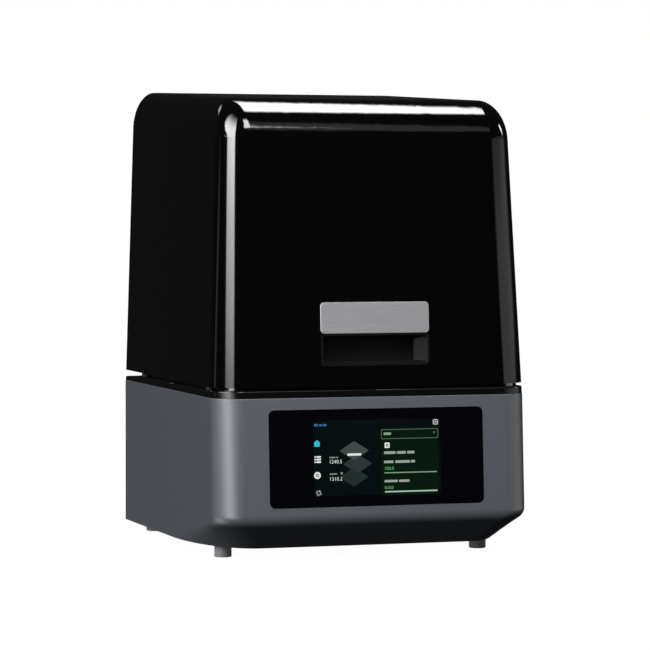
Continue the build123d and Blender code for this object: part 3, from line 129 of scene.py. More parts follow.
def in_degrees(source, *fades):
    """Edges of a softbox whose fades are given in degrees."""
    return [(source, radians(dark), radians(bright)) for dark, bright in fades]


def softbox(strength, *edges):
    """Brightness of a softbox. Each edge is a direction, where it is dark and where it is full."""
    glow = add_node(room, "ShaderNodeValue")
    glow.outputs[0].default_value = strength
    for source, dark, bright in edges:
        fade = add_node(
            room,
            "ShaderNodeMapRange",
            interpolation_type="SMOOTHSTEP",
            inputs={"From Min": dark, "From Max": bright},
            links={"Value": (source, 0)},
        )
        glow = add_node(
            room, "ShaderNodeMath", operation="MULTIPLY", links={0: (glow, 0), 1: (fade, 0)}
        )
    return glow


tall_strip = softbox(
    13,
    *in_degrees(strip_side, (-48, -42), (-5, -9)),
    *in_degrees(elevation, (2.3, 9.5), (12, 9.5)),
)
strip_head = softbox(
    19,
    *in_degrees(azimuth, (-107, -92)),
    *in_degrees(head_side, (-70, -62)),
    *in_degrees(azimuth, (-42, -47)),
    *in_degrees(elevation, (7, 13), (72, 26)),
)
overhead = softbox(
    19,
    (over_y, -0.05, 0.1),
    (over_y, 1.1, 0.2),
    (over_x, 0.12, 0.18),
    (over_x, 0.45, 0.38),
    *in_degrees(elevation, (20, 25)),
)
glows = [tall_strip, strip_head, overhead]
# The smaller ones: strength, then the fades of the left, right, lower and upper edge in degrees.
for strength, left, right, low, high in (
    (17, (-8, -2), (25, 18), (36, 39), (68, 60)),  # small bright spot by the hood's front corner
    (0.5, (2, 6), (33, 28), (28, 34), (62, 46)),  # dim band along the hood's front edge
    (0.8, (28, 31), (105, 80), (1, 2.5), (8, 3.6)),  # dim line down the hood's right corner
    (0.42, (31, 34), (105, 80), (4, 6), (16, 9)),  # fainter band beside it
    (14, (86, 89), (97, 94), (10, 24), (33, 30)),  # glint on the hood's right shoulder
    (13, (-61, -51), (-22, -32), (-18, -12), (2, 0)),  # low strip for the base's front corner
    (3, (40, 52), (108, 92), (-20, -12), (0, -2)),  # low light for the base's front
    (6, (-128, -120), (-90, -98), (-64, -52), (-14, -22)),  # low light for the undercut's end
    (0.35, (-124, -119), (-110, -114), (-2, 0), (6, 4)),  # faint line down the hood's left
    (2.5, (-168, -163), (-152, -157), (18, 21), (32, 28)),  # glint on the hood's left shoulder
):
    glows.append(
        softbox(strength, *in_degrees(azimuth, left, right), *in_degrees(elevation, low, high))
    )
AMBIENT = 0.018
total = glows[0]
for glow in glows[1:]:
    total = add_node(
        room, "ShaderNodeMath", operation="ADD", links={0: (total, 0), 1: (glow, 0)}
    )
total = add_node(
    room, "ShaderNodeMath", operation="ADD", inputs={1: AMBIENT}, links={0: (total, 0)}
)
dark_room = add_node(
    room,
    "ShaderNodeBackground",
    inputs={"Color": linear("#fdfdff")},
    links={"Strength": (total, 0)},
)
paper = add_node(
    room, "ShaderNodeBackground", inputs={"Color": linear("#ffffff"), "Strength": 1.0}
)
ray = add_node(room, "ShaderNodeLightPath")
seen = add_node(
    room,
    "ShaderNodeMixShader",
    links={0: (ray, "Is Camera Ray"), 1: (dark_room, 0), 2: (paper, 0)},
)
add_node(room, "ShaderNodeOutputWorld", links={"Surface": (seen, 0)})


def fill_light(name, place, aim, size, power):
    """A near softbox that only fills: the polished hood doesn't mirror it."""
    lamp = bpy.data.lights.new(name, "AREA")
    lamp.shape = "RECTANGLE"
    lamp.size, lamp.size_y = size
    lamp.energy = power
    lamp.color = linear("#fbfcff")[:3]
    lit_from = bpy.data.objects.new(name, lamp)
    bpy.context.scene.collection.objects.link(lit_from)
    way = Vector(aim) - Vector(place)
    facing = way.to_track_quat("-Z", "Y").to_matrix().to_4x4()
    lit_from.matrix_world = Matrix.Translation(place) @ facing
    lit_from.visible_camera = False
    lit_from.visible_glossy = False


fill_light(
    "front_fill", place=(-0.3, -0.8, 0.6), aim=(0, -0.2, 0.12), size=(0.4, 0.3), power=17
)
fill_light("rear_fill", place=(0.5, 1.5, 0.8), aim=(0, 0.2, 0.2), size=(0.8, 0.6), power=34)


# Floor: plain pale paper that runs on as the background. It glows evenly, takes only a little
# shade, and gives no light back to the casing.
def finish(name):
    """A new material with an empty node tree."""
    made = bpy.data.materials.new(name)
    made.use_nodes = True
    made.node_tree.nodes.clear()
    return made, made.node_tree


paper_floor, tree = finish("white_paper")
glow = add_node(tree, "ShaderNodeEmission", inputs={"Color": linear("#ffffff"), "Strength": 0.985})
matt = add_node(tree, "ShaderNodeBsdfDiffuse", inputs={"Color": linear("#1c1c1c")})
both = add_node(tree, "ShaderNodeAddShader", links={0: (glow, 0), 1: (matt, 0)})
add_node(tree, "ShaderNodeOutputMaterial", links={"Surface": (both, 0)})
bpy.ops.object.select_all(action="DESELECT")
FLOOR_SIZE = 40
bpy.ops.mesh.primitive_plane_add(size=FLOOR_SIZE)
floor = bpy.context.object
floor.name = "floor"
floor.data.materials.append(paper_floor)
floor.visible_glossy = False
floor.visible_diffuse = False


# Base housing: a moulded and painted casing. Its satin slate-grey paint has a fine even texture of
# 0.7 mm and a little sheen, so that its edges catch the light.
def dress(material, *names):
    """Gives CAD nodes their finish."""
    for name in names:
        nodes[name].data.materials.clear()
        nodes[name].data.materials.append(material)


slate_paint, tree = finish("satin_slate_paint")
place = add_node(tree, "ShaderNodeTexCoord")
speckle = add_node(
    tree,
    "ShaderNodeTexNoise",
    inputs={"Scale": 1400.0, "Detail": 2.0},
    links={"Vector": (place, "Object")},
)
tone = add_node(
    tree,
    "ShaderNodeMix",
    data_type="RGBA",
    inputs={6: linear("#252729"), 7: linear("#2d3034")},
    links={0: (speckle, "Fac")},
)
texture = add_node(
    tree,
    "ShaderNodeBump",
    inputs={"Strength": 0.12, "Distance": 0.0002},
    links={"Height": (speckle, "Fac")},
)
coat = add_node(
    tree,
    "ShaderNodeBsdfPrincipled",
    inputs={"Roughness": 0.43, "IOR": 1.5},
    links={"Base Color": (tone, 2), "Normal": (texture, 0)},
)
add_node(tree, "ShaderNodeOutputMaterial", links={"Surface": (coat, 0)})
dress(slate_paint, "base_housing")

# Bottom plate: folded zinc-plated sheet steel, screwed up into the housing's bosses. Plating gives
# it a mottled grey sheen, in spangles about 6 mm across. The power supply's case, the display's
# back plate and the two sockets' shields share it.
zinc_plate, tree = finish("zinc_plated_sheet_steel")
place = add_node(tree, "ShaderNodeTexCoord")
spangle = add_node(
    tree, "ShaderNodeTexVoronoi", inputs={"Scale": 160.0}, links={"Vector": (place, "Object")}
)
tone = add_node(
    tree,
    "ShaderNodeMix",
    data_type="RGBA",
    inputs={6: linear("#8e9092"), 7: linear("#b2b4b5")},
    links={0: (spangle, "Color")},
)
sheen = add_node(
    tree,
    "ShaderNodeMapRange",
    inputs={"To Min": 0.32, "To Max": 0.5},
    links={"Value": (spangle, "Color")},
)
coat = add_node(
    tree,
    "ShaderNodeBsdfPrincipled",
    inputs={"Metallic": 1.0},
    links={"Base Color": (tone, 2), "Roughness": (sheen, 0)},
)
add_node(tree, "ShaderNodeOutputMaterial", links={"Surface": (coat, 0)})
dress(zinc_plate, "bottom_plate", "power_supply", "display_module", "ethernet_socket", "usb_socket")

# Bottom screws: black-oxide steel cap screws with a hexagon socket, one turned and copied into
# each hole. Oil in the oxide leaves an even dark sheen with faint marks a millimetre apart.
oxide_steel, tree = finish("black_oxide_steel")
place = add_node(tree, "ShaderNodeTexCoord")
marks = add_node(
    tree,
    "ShaderNodeTexNoise",
    inputs={"Scale": 900.0, "Detail": 3.0},
    links={"Vector": (place, "Object")},
)
sheen = add_node(
    tree,
    "ShaderNodeMapRange",
    inputs={"To Min": 0.28, "To Max": 0.5},
    links={"Value": (marks, "Fac")},
)
tone = add_node(
    tree,
    "ShaderNodeMix",
    data_type="RGBA",
    inputs={6: linear("#303133"), 7: linear("#3c3d40")},
    links={0: (marks, "Fac")},
)
coat = add_node(
    tree,
    "ShaderNodeBsdfPrincipled",
    inputs={"Metallic": 1.0},
    links={"Base Color": (tone, 2), "Roughness": (sheen, 0)},
)
add_node(tree, "ShaderNodeOutputMaterial", links={"Surface": (coat, 0)})


def pick(piece, test):
    """Selects the faces whose middle and normal pass a test, ready to shape in edit mode."""
    bpy.ops.object.mode_set(mode="OBJECT")
    for face in piece.data.polygons:
        face.select = test(face.center, face.normal)
    bpy.ops.object.mode_set(mode="EDIT")


# Shares of the head: the chamfer's width and height, the socket's radius and its key's length.
CHAMFER_WIDTH = 0.12
CHAMFER_HEIGHT = 0.1
SOCKET_RADIUS = 0.52
KEY_LENGTH = 1.2


def cap_screw(head_radius, head_height, shank_radius, shank_length):
    """Cap screw in metres whose head stands on the origin: round head, hexagon socket, shank."""
    bpy.ops.object.select_all(action="DESELECT")
    bpy.ops.mesh.primitive_cylinder_add(
        vertices=32, radius=head_radius, depth=head_height, location=(0, 0, head_height / 2)
    )
    screw = bpy.context.object
    bpy.ops.object.transform_apply()
    bpy.ops.object.mode_set(mode="EDIT")
    bpy.ops.mesh.select_mode(type="FACE")
    pick(screw, lambda middle, normal: normal.z < -0.5)
    bpy.ops.mesh.inset(thickness=head_radius - shank_radius)
    bpy.ops.mesh.extrude_region_move(TRANSFORM_OT_translate={"value": (0, 0, -shank_length)})
    pick(screw, lambda middle, normal: normal.z > 0.5)
    bpy.ops.mesh.inset(thickness=head_height * CHAMFER_WIDTH)
    bpy.ops.transform.translate(value=(0, 0, head_height * CHAMFER_HEIGHT))
    bpy.ops.mesh.select_all(action="SELECT")
    bpy.ops.transform.translate(value=(0, 0, -head_height * CHAMFER_HEIGHT))
    bpy.ops.object.mode_set(mode="OBJECT")
    bpy.ops.mesh.primitive_cylinder_add(
        vertices=6,
        radius=head_radius * SOCKET_RADIUS,
        depth=head_height * KEY_LENGTH,
        location=(0, 0, head_height),
    )
    key = bpy.context.object
    socket = screw.modifiers.new("socket", "BOOLEAN")
    socket.object = key
    bpy.context.view_layer.objects.active = screw
    bpy.ops.object.modifier_apply(modifier="socket")
    bpy.data.objects.remove(key)
    return screw


def set_screws(name, screw, places, body, flip=False):
    """Copies a screw into each of its holes, in millimetres, to stand for the CAD node."""
    turn = Matrix.Rotation(pi, 4, "X") if flip else Matrix.Identity(4)
    copies = []
    for place in places:
        copy = bpy.data.objects.new(name, screw.data.copy())
        bpy.context.scene.collection.objects.link(copy)
        spot = [along * mm for along in place]
        copy.data.transform(Matrix.Translation(spot) @ turn)
        copies.append(copy)
    bpy.data.objects.remove(screw)
    bpy.ops.object.select_all(action="DESELECT")
    for copy in copies:
        copy.select_set(True)
    bpy.context.view_layer.objects.active = copies[0]
    bpy.ops.object.join()
    group = bpy.context.object
    group.name = name + "_set"
    bpy.ops.object.shade_smooth_by_angle(angle=radians(35))
    group.data.materials.clear()
    group.data.materials.append(oxide_steel)
    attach(group, body)
    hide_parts(name)


floor_screw = cap_screw(
    head_radius=3.5 * mm, head_height=1.35 * mm, shank_radius=1.75 * mm, shank_length=10 * mm
)
PLATE_TOP = 15
floor_holes = [(x, y, PLATE_TOP) for x in (-183, 183) for y in (-20.82, 59.18, 172.68)]
set_screws("bottom_screws", floor_screw, floor_holes, "base", flip=True)

# Feet: grey rubber pads moulded round a steel stud. The mould leaves them matt, with a grain of
# about a millimetre and a half that shows as a slight unevenness.
foot_rubber, tree = finish("moulded_grey_rubber")
place = add_node(tree, "ShaderNodeTexCoord")
grain = add_node(
    tree,
    "ShaderNodeTexNoise",
    inputs={"Scale": 700.0, "Detail": 4.0},
    links={"Vector": (place, "Object")},
)
tone = add_node(
    tree,
    "ShaderNodeMix",
    data_type="RGBA",
    inputs={6: linear("#3b3b3c"), 7: linear("#4a4a4b")},
    links={0: (grain, "Fac")},
)
texture = add_node(
    tree,
    "ShaderNodeBump",
    inputs={"Strength": 0.25, "Distance": 0.0003},
    links={"Height": (grain, "Fac")},
)
coat = add_node(
    tree,
    "ShaderNodeBsdfPrincipled",
    inputs={"Roughness": 0.72},
    links={"Base Color": (tone, 2), "Normal": (texture, 0)},
)
add_node(tree, "ShaderNodeOutputMaterial", links={"Surface": (coat, 0)})
dress(foot_rubber, "feet")

# Studs, rails, pins and the vat's ring: ground bearing steel. Grinding leaves fine level lines,
# 0.2 mm apart and 2 mm long, and a bright, slightly blurred reflection.
ground_steel, tree = finish("ground_steel")
place = add_node(tree, "ShaderNodeTexCoord")
stretch = add_node(
    tree,
    "ShaderNodeMapping",
    inputs={"Scale": (1.0, 1.0, 12.0)},
    links={"Vector": (place, "Object")},
)
lines = add_node(
    tree,
    "ShaderNodeTexNoise",
    inputs={"Scale": 500.0, "Detail": 3.0},
    links={"Vector": (stretch, 0)},
)
sheen = add_node(
    tree,
    "ShaderNodeMapRange",
    inputs={"To Min": 0.16, "To Max": 0.34},
    links={"Value": (lines, "Fac")},
)
tone = add_node(
    tree,
    "ShaderNodeMix",
    data_type="RGBA",
    inputs={6: linear("#a4a6a9"), 7: linear("#c3c4c6")},
    links={0: (lines, "Fac")},
)
coat = add_node(
    tree,
    "ShaderNodeBsdfPrincipled",
    inputs={"Metallic": 1.0},
    links={"Base Color": (tone, 2), "Roughness": (sheen, 0)},
)
add_node(tree, "ShaderNodeOutputMaterial", links={"Surface": (coat, 0)})
dress(
    ground_steel,
    "foot_studs",
    "z_rails",
    "rail_blocks",
    "hinge_pins",
    "clamp_screws",
    "vat_ring",
    "board_standoffs",
)

# Frame posts, machine plate, lift column and heat sink: milled aluminium. The cutter's passes leave
# bands 4 mm wide, each a little brighter or duller than the next, over a grit of 0.9 mm.
milled_aluminium, tree = finish("milled_aluminium")
place = add_node(tree, "ShaderNodeTexCoord")
passes = add_node(
    tree,
    "ShaderNodeTexWave",
    inputs={"Scale": 38.0, "Distortion": 1.5, "Detail": 3.0, "Detail Scale": 4.0},
    links={"Vector": (place, "Object")},
)
grit = add_node(
    tree,
    "ShaderNodeTexNoise",
    inputs={"Scale": 1100.0, "Detail": 2.0},
    links={"Vector": (place, "Object")},
)
blend = add_node(
    tree, "ShaderNodeMath", operation="MULTIPLY", links={0: (passes, "Fac"), 1: (grit, "Fac")}
)
sheen = add_node(
    tree, "ShaderNodeMapRange", inputs={"To Min": 0.3, "To Max": 0.46}, links={"Value": (blend, 0)}
)
tone = add_node(
    tree,
    "ShaderNodeMix",
    data_type="RGBA",
    inputs={6: linear("#b3b5b7"), 7: linear("#cfd0d1")},
    links={0: (blend, 0)},
)
coat = add_node(
    tree,
    "ShaderNodeBsdfPrincipled",
    inputs={"Metallic": 1.0},
    links={"Base Color": (tone, 2), "Roughness": (sheen, 0)},
)
add_node(tree, "ShaderNodeOutputMaterial", links={"Surface": (coat, 0)})
dress(
    milled_aluminium,
    "frame_posts",
    "machine_plate",
    "z_column",
    "screw_bearing_block",
    "carriage_plate",
    "build_arm",
    "heat_sink",
)

# Black moulded pieces: ABS from a spark-eroded mould, whose 0.6 mm grain breaks up the shine. The
# fans, the display's bracket, the screen's frame, the inlet with its switch, the bumpers and the
# small levers and knobs have this finish.
moulded_black, tree = finish("grained_black_abs")
place = add_node(tree, "ShaderNodeTexCoord")
grain = add_node(
    tree,
    "ShaderNodeTexNoise",
    inputs={"Scale": 1800.0, "Detail": 2.0},
    links={"Vector": (place, "Object")},
)
texture = add_node(
    tree,
    "ShaderNodeBump",
    inputs={"Strength": 0.3, "Distance": 0.0002},
    links={"Height": (grain, "Fac")},
)
sheen = add_node(
    tree,
    "ShaderNodeMapRange",
    inputs={"To Min": 0.4, "To Max": 0.6},
    links={"Value": (grain, "Fac")},
)
tone = add_node(
    tree,
    "ShaderNodeMix",
    data_type="RGBA",
    inputs={6: linear("#0b0b0c"), 7: linear("#141415")},
    links={0: (grain, "Fac")},
)
coat = add_node(
    tree,
    "ShaderNodeBsdfPrincipled",
    inputs={"IOR": 1.5},
    links={"Base Color": (tone, 2), "Normal": (texture, 0), "Roughness": (sheen, 0)},
)
add_node(tree, "ShaderNodeOutputMaterial", links={"Surface": (coat, 0)})
dress(
    moulded_black,
    "display_bracket",
    "light_fan_frame",
    "light_fan_rotor",
    "exhaust_fan_frame",
    "exhaust_fan_rotor",
    "power_inlet",
    "switch_bezel",
    "screen_frame",
    "hood_bumpers",
    "platform_knob",
    "vat_clamp_left",
    "vat_clamp_right",
    "switch_rocker",
)

# Touch display: a black glass panel let in flush with the face, with the lit screen behind it and
# faint finger smudges 45 mm across. What the screen shows is laid on the glass as thin lit layers:
# icons, bars, numbers and blocks.
touch_glass, tree = finish("black_touch_glass")
place = add_node(tree, "ShaderNodeTexCoord")
smudge = add_node(
    tree,
    "ShaderNodeTexNoise",
    inputs={"Scale": 22.0, "Detail": 3.0},
    links={"Vector": (place, "Object")},
)
sheen = add_node(
    tree,
    "ShaderNodeMapRange",
    inputs={"To Min": 0.02, "To Max": 0.09},
    links={"Value": (smudge, "Fac")},
)
coat = add_node(
    tree,
    "ShaderNodeBsdfPrincipled",
    inputs={"Base Color": linear("#010102"), "IOR": 1.5},
    links={"Roughness": (sheen, 0)},
)
add_node(tree, "ShaderNodeOutputMaterial", links={"Surface": (coat, 0)})
dress(touch_glass, "display_glass")

FACE_LEAN = radians(3.69)
FACE_MIDDLE = (0, -210.27 * mm, 118.6 * mm)
LAYER = 0.04 * mm
CAPITAL_SHARE = 0.7  # a numeral's height as a share of the type's size
face_up = Vector((0, sin(FACE_LEAN), cos(FACE_LEAN)))
face_out = Vector((0, -cos(FACE_LEAN), sin(FACE_LEAN)))
facing = Matrix(((1, 0, 0), face_up, face_out)).transposed().to_4x4()
on_display = Matrix.Translation(FACE_MIDDLE) @ facing


def lit(name, code):
    """Finish of one colour of the screen: it glows through the glass, in pixels of 0.2 mm."""
    made, tree = finish(name)
    place = add_node(tree, "ShaderNodeTexCoord")
    pixels = add_node(
        tree, "ShaderNodeTexNoise", inputs={"Scale": 5000.0}, links={"Vector": (place, "Object")}
    )
    shade = add_node(
        tree,
        "ShaderNodeMapRange",
        inputs={"To Min": 0.94, "To Max": 1.06},
        links={"Value": (pixels, "Fac")},
    )
    glass = add_node(
        tree,
        "ShaderNodeBsdfPrincipled",
        inputs={
            "Base Color": linear("#010101"),
            "Roughness": 0.06,
            "Emission Color": linear(code),
        },
        links={"Emission Strength": (shade, 0)},
    )
    add_node(tree, "ShaderNodeOutputMaterial", links={"Surface": (glass, 0)})
    return made


def tile(across, up, width, height, corner=0.0, sides=4, turn=0.0, layers=1, ring=0.0):
    """A thin tile on the screen, its size and place in millimetres from the screen's middle.

    It can have rounded corners, more sides or a turn. A ring is open but for a rim of that width.
    """
    bpy.ops.object.select_all(action="DESELECT")
    if sides == 4:
        bpy.ops.mesh.primitive_plane_add(size=1)
    else:
        bpy.ops.mesh.primitive_circle_add(vertices=sides, radius=0.5, fill_type="NGON")
    bpy.ops.object.mode_set(mode="EDIT")
    bpy.ops.mesh.select_all(action="SELECT")
    bpy.ops.transform.resize(value=(width * mm, height * mm, 1), center_override=(0, 0, 0))
    if corner:
        bpy.ops.mesh.bevel(offset=corner * mm, segments=4, affect="VERTICES")
    bpy.ops.mesh.select_mode(type="FACE")
    bpy.ops.mesh.select_all(action="SELECT")
    if ring:
        bpy.ops.mesh.inset(thickness=ring * mm)
        bpy.ops.mesh.delete(type="FACE")
        bpy.ops.mesh.select_all(action="SELECT")
    bpy.ops.mesh.extrude_region_move(TRANSFORM_OT_translate={"value": (0, 0, layers * LAYER)})
    bpy.ops.mesh.select_all(action="SELECT")
    bpy.ops.mesh.normals_make_consistent(inside=False)
    bpy.ops.object.mode_set(mode="OBJECT")
    made = bpy.context.object
    spot = Matrix.Translation((across * mm, up * mm, 0))
    made.data.transform(spot @ Matrix.Rotation(radians(turn), 4, "Z"))
    return made


def numerals(number, across, up, height, layers=2):
    """A plain number on the screen, set by its lower left corner."""
    bpy.ops.object.select_all(action="DESELECT")
    bpy.ops.object.text_add()
    made = bpy.context.object
    made.data.body = number
    made.data.size = height * mm / CAPITAL_SHARE
    made.data.extrude = LAYER * layers / 2
    bpy.ops.object.convert(target="MESH")
    made = bpy.context.object
    made.data.transform(Matrix.Translation((across * mm, up * mm, layers * LAYER / 2)))
    return made


def show(name, finish_of, pieces):
    """Joins the tiles of one colour and sets them on the glass."""
    bpy.ops.object.select_all(action="DESELECT")
    for piece in pieces:
        piece.select_set(True)
    bpy.context.view_layer.objects.active = pieces[0]
    bpy.ops.object.join()
    layer = bpy.context.object
    layer.name = name
    layer.data.transform(on_display)
    layer.data.materials.clear()
    layer.data.materials.append(finish_of)
    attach(layer, "base")


show("screen_ground", lit("screen_dark_teal", "#030b0c"), [tile(0, 0, 154, 86, corner=1.5)])
show(
    "screen_panel",
    lit("screen_dark_green", "#04170b"),
    [tile(39.7, -5.5, 69.5, 77, corner=2, layers=2)],
)
show(
    "screen_heading",
    lit("screen_blue", "#2f6c96"),
    [
        tile(-73.3, 38, 4.6, 2.8, corner=0.9, layers=2),
        tile(-68.2, 37.8, 3.6, 2.2, corner=0.8, layers=2),
        tile(-63, 37.9, 4.8, 2.4, corner=0.8, layers=2),
    ],
)
show(
    "screen_home_icon",
    lit("screen_cyan", "#35b7cf"),
    [
        tile(-72.6, 16.1, 6.6, 5.2, corner=0.6, layers=2),
        tile(-72.6, 19, 8.8, 4.4, sides=3, layers=3),
    ],
)
list_rows = []
for up in (1.8, -1.1, -4.0):
    list_rows.append(tile(-75.1, up, 1.7, 1.7, corner=0.3, layers=2))
    list_rows.append(tile(-70.9, up, 5.4, 1.9, corner=0.4, layers=2))
show(
    "screen_white_icons",
    lit("screen_white", "#e3e9e8"),
    list_rows
    + [
        tile(-72.7, -19.2, 8, 8, sides=32, layers=2, ring=2),
        tile(-72.7, -19.2, 2.2, 2.2, sides=16, layers=2),
        tile(11.9, 13.2, 6, 6.2, corner=0.9, layers=3, ring=1.6),
        tile(11.9, 13.2, 1.6, 1.6, sides=16, layers=3),
    ],
)
show(
    "screen_grey_icons",
    lit("screen_grey", "#858b8a"),
    [
        tile(-71.4, -39.2, 5.6, 5.6, corner=0.9, turn=20, layers=2, ring=1.5),
    ],
)
show(
    "screen_corner_icon",
    lit("screen_corner_grey", "#b9c0bd"),
    [
        tile(71.4, 38.8, 6.2, 6, corner=1.2, layers=2, ring=1.1),
        tile(71.4, 38.8, 2, 2, layers=2),
    ],
)
BLOCK_SIDE = 25
BLOCK_STEP = 15
BLOCK_FLATNESS = 0.62  # each block is a square on its corner, pressed flat
for level, (shift, block, colour, code) in enumerate((
    (-2, "screen_blocks_low", "screen_slate", "#222b2b"),
    (3, "screen_blocks_middle", "screen_slate_light", "#2c3534"),
    (-1, "screen_blocks_top", "screen_slate_pale", "#3e4846"),
)):
    up = -22 + BLOCK_STEP * level
    square = tile(
        -27 + shift, up, BLOCK_SIDE, BLOCK_SIDE, corner=1.5, turn=45, layers=2 + level
    )
    middle = Matrix.Translation((0, up * mm, 0))
    square.data.transform(middle @ Matrix.Diagonal((1, BLOCK_FLATNESS, 1, 1)) @ middle.inverted())
    show(block, lit(colour, code), [square])
show(
    "screen_accent",
    lit("screen_accent_white", "#dfe6e3"),
    [tile(-28, 3.6, 17, 2.6, corner=1.1, layers=5)],
)
show(
    "screen_labels",
    lit("screen_label_grey", "#7f8a87"),
    [
        tile(-54.5, 0.8, 7, 1.5, corner=0.4, layers=2),
        tile(-49, 0.8, 2.6, 1.5, corner=0.4, layers=2),
        tile(-53.5, -18, 9, 1.5, corner=0.4, layers=2),
        tile(-43.6, -17.4, 2.6, 2.6, corner=0.5, layers=2),
    ],
)
show(
    "screen_readings",
    lit("screen_reading_white", "#d3dad8"),
    [numerals("1240.5", -58.6, -6, 4.1), numerals("1310.2", -58.6, -25.6, 4.1)],
)
show(
    "screen_outline",
    lit("screen_outline_green", "#5f7c62"),
    [
        tile(39.6, 25.9, 69.4, 10.9, corner=1.2, layers=3, ring=0.55),
        tile(69.4, 26.9, 1.9, 1.9, sides=16, layers=3),
    ],
)
show(
    "screen_choice",
    lit("screen_choice_green", "#7fa37f"),
    [tile(12.4, 26.4, 9, 2.9, corner=0.8, layers=3)],
)
show(
    "screen_lines",
    lit("screen_line_white", "#97a29a"),
    [
        tile(*bar, corner=0.8, layers=3)
        for bar in (
            (15, 4.7, 14, 3),
            (29, 4.7, 11, 3),
            (40.5, 4.7, 9, 3),
            (13.5, -5.8, 11.5, 2.9),
            (30.3, -5.8, 18, 2.9),
            (43, -5.8, 5, 2.9),
            (16, -27.8, 16, 2.7),
            (32, -27.8, 13, 2.7),
        )
    ],
)
show(
    "screen_numbers",
    lit("screen_number_green", "#5fae70"),
    [numerals("100.0", 8, -15, 3.7, layers=3), numerals("0.050", 8, -36.8, 3.4, layers=3)],
)
upper_rule = tile(40.0, -18.3, 64, 1.2, layers=3)
show("screen_rule_upper", lit("screen_rule_green", "#7f9d80"), [upper_rule])
lower_rule = tile(40.3, -39.9, 64, 1.5, layers=3)
show("screen_rule_lower", lit("screen_rule_pale", "#a9c7b5"), [lower_rule])

# Light engine: an anodised aluminium light box between the LED board on its heat sink and the lens
# plate. Black anodising is satin, with pores drawn 0.8 mm wide and a faint bronze cast. The vat's
# frame, the hinge's brackets and the lift's motor have the same finish.
black_anodised, tree = finish("black_anodised_aluminium")
place = add_node(tree, "ShaderNodeTexCoord")
pores = add_node(
    tree,
    "ShaderNodeTexNoise",
    inputs={"Scale": 1300.0, "Detail": 3.0},
    links={"Vector": (place, "Object")},
)
sheen = add_node(
    tree,
    "ShaderNodeMapRange",
    inputs={"To Min": 0.34, "To Max": 0.52},
    links={"Value": (pores, "Fac")},
)
tone = add_node(
    tree,
    "ShaderNodeMix",
    data_type="RGBA",
    inputs={6: linear("#1b1b1d"), 7: linear("#2b2a2b")},
    links={0: (pores, "Fac")},
)
coat = add_node(
    tree,
    "ShaderNodeBsdfPrincipled",
    inputs={"Metallic": 0.7},
    links={"Base Color": (tone, 2), "Roughness": (sheen, 0)},
)
add_node(tree, "ShaderNodeOutputMaterial", links={"Surface": (coat, 0)})
dress(
    black_anodised,
    "light_box",
    "vat_frame",
    "hinge_bracket_left",
    "hinge_bracket_right",
    "hood_bracket_left",
    "hood_bracket_right",
    "z_motor",
)

# Mainboard and LED board: fibreglass with green solder mask over square copper tracks, drawn 4 mm
# apart, coarse enough to show. What stands on the mainboard is black moulded chips, and on the LED
# board cream-coloured lamps.
circuit_board, tree = finish("solder_masked_board")
place = add_node(tree, "ShaderNodeTexCoord")
tracks = add_node(
    tree,
    "ShaderNodeTexVoronoi",
    distance="MANHATTAN",
    feature="F2",
    inputs={"Scale": 260.0, "Randomness": 0.65},
    links={"Vector": (place, "Object")},
)
edges = add_node(
    tree,
    "ShaderNodeMapRange",
    inputs={"From Min": 0.55, "From Max": 0.62},
    links={"Value": (tracks, "Distance")},
)
mask = add_node(
    tree,
    "ShaderNodeMix",
    data_type="RGBA",
    inputs={6: linear("#0d3b23"), 7: linear("#1d6a3d")},
    links={0: (edges, 0)},
)
MAINBOARD_TOP = 28.7 * mm
BETWEEN_BOARDS = 60 * mm
LED_BOARD_TOP = 82.1 * mm
height = add_node(tree, "ShaderNodeSeparateXYZ", links={"Vector": (place, "Object")})
raised = add_node(
    tree,
    "ShaderNodeMath",
    operation="GREATER_THAN",
    inputs={1: MAINBOARD_TOP},
    links={0: (height, "Z")},
)
under = add_node(
    tree,
    "ShaderNodeMath",
    operation="LESS_THAN",
    inputs={1: BETWEEN_BOARDS},
    links={0: (height, "Z")},
)
chip = add_node(
    tree, "ShaderNodeMath", operation="MULTIPLY", links={0: (raised, 0), 1: (under, 0)}
)
tone = add_node(
    tree,
    "ShaderNodeMix",
    data_type="RGBA",
    inputs={7: linear("#17181a")},
    links={0: (chip, 0), 6: (mask, 2)},
)
lamp = add_node(
    tree,
    "ShaderNodeMath",
    operation="GREATER_THAN",
    inputs={1: LED_BOARD_TOP},
    links={0: (height, "Z")},
)
tone = add_node(
    tree,
    "ShaderNodeMix",
    data_type="RGBA",
    inputs={7: linear("#d9d6b4")},
    links={0: (lamp, 0), 6: (tone, 2)},
)
coat = add_node(
    tree, "ShaderNodeBsdfPrincipled", inputs={"Roughness": 0.35}, links={"Base Color": (tone, 2)}
)
add_node(tree, "ShaderNodeOutputMaterial", links={"Surface": (coat, 0)})
dress(circuit_board, "mainboard", "led_board")

# Deck cover: a black band under the hood, cast acrylic with a satin face hazed in 0.7 mm grains, so
# that it shows only a thin line of light along its top edge. Four cap screws hold it down to the
# housing's rim.
satin_acrylic, tree = finish("satin_black_acrylic")
place = add_node(tree, "ShaderNodeTexCoord")
haze = add_node(
    tree,
    "ShaderNodeTexNoise",
    inputs={"Scale": 1500.0, "Detail": 2.0},
    links={"Vector": (place, "Object")},
)
sheen = add_node(
    tree,
    "ShaderNodeMapRange",
    inputs={"To Min": 0.16, "To Max": 0.24},
    links={"Value": (haze, "Fac")},
)
tone = add_node(
    tree,
    "ShaderNodeMix",
    data_type="RGBA",
    inputs={6: linear("#010101"), 7: linear("#030303")},
    links={0: (haze, "Fac")},
)
coat = add_node(
    tree,
    "ShaderNodeBsdfPrincipled",
    inputs={"IOR": 1.45},
    links={"Base Color": (tone, 2), "Roughness": (sheen, 0)},
)
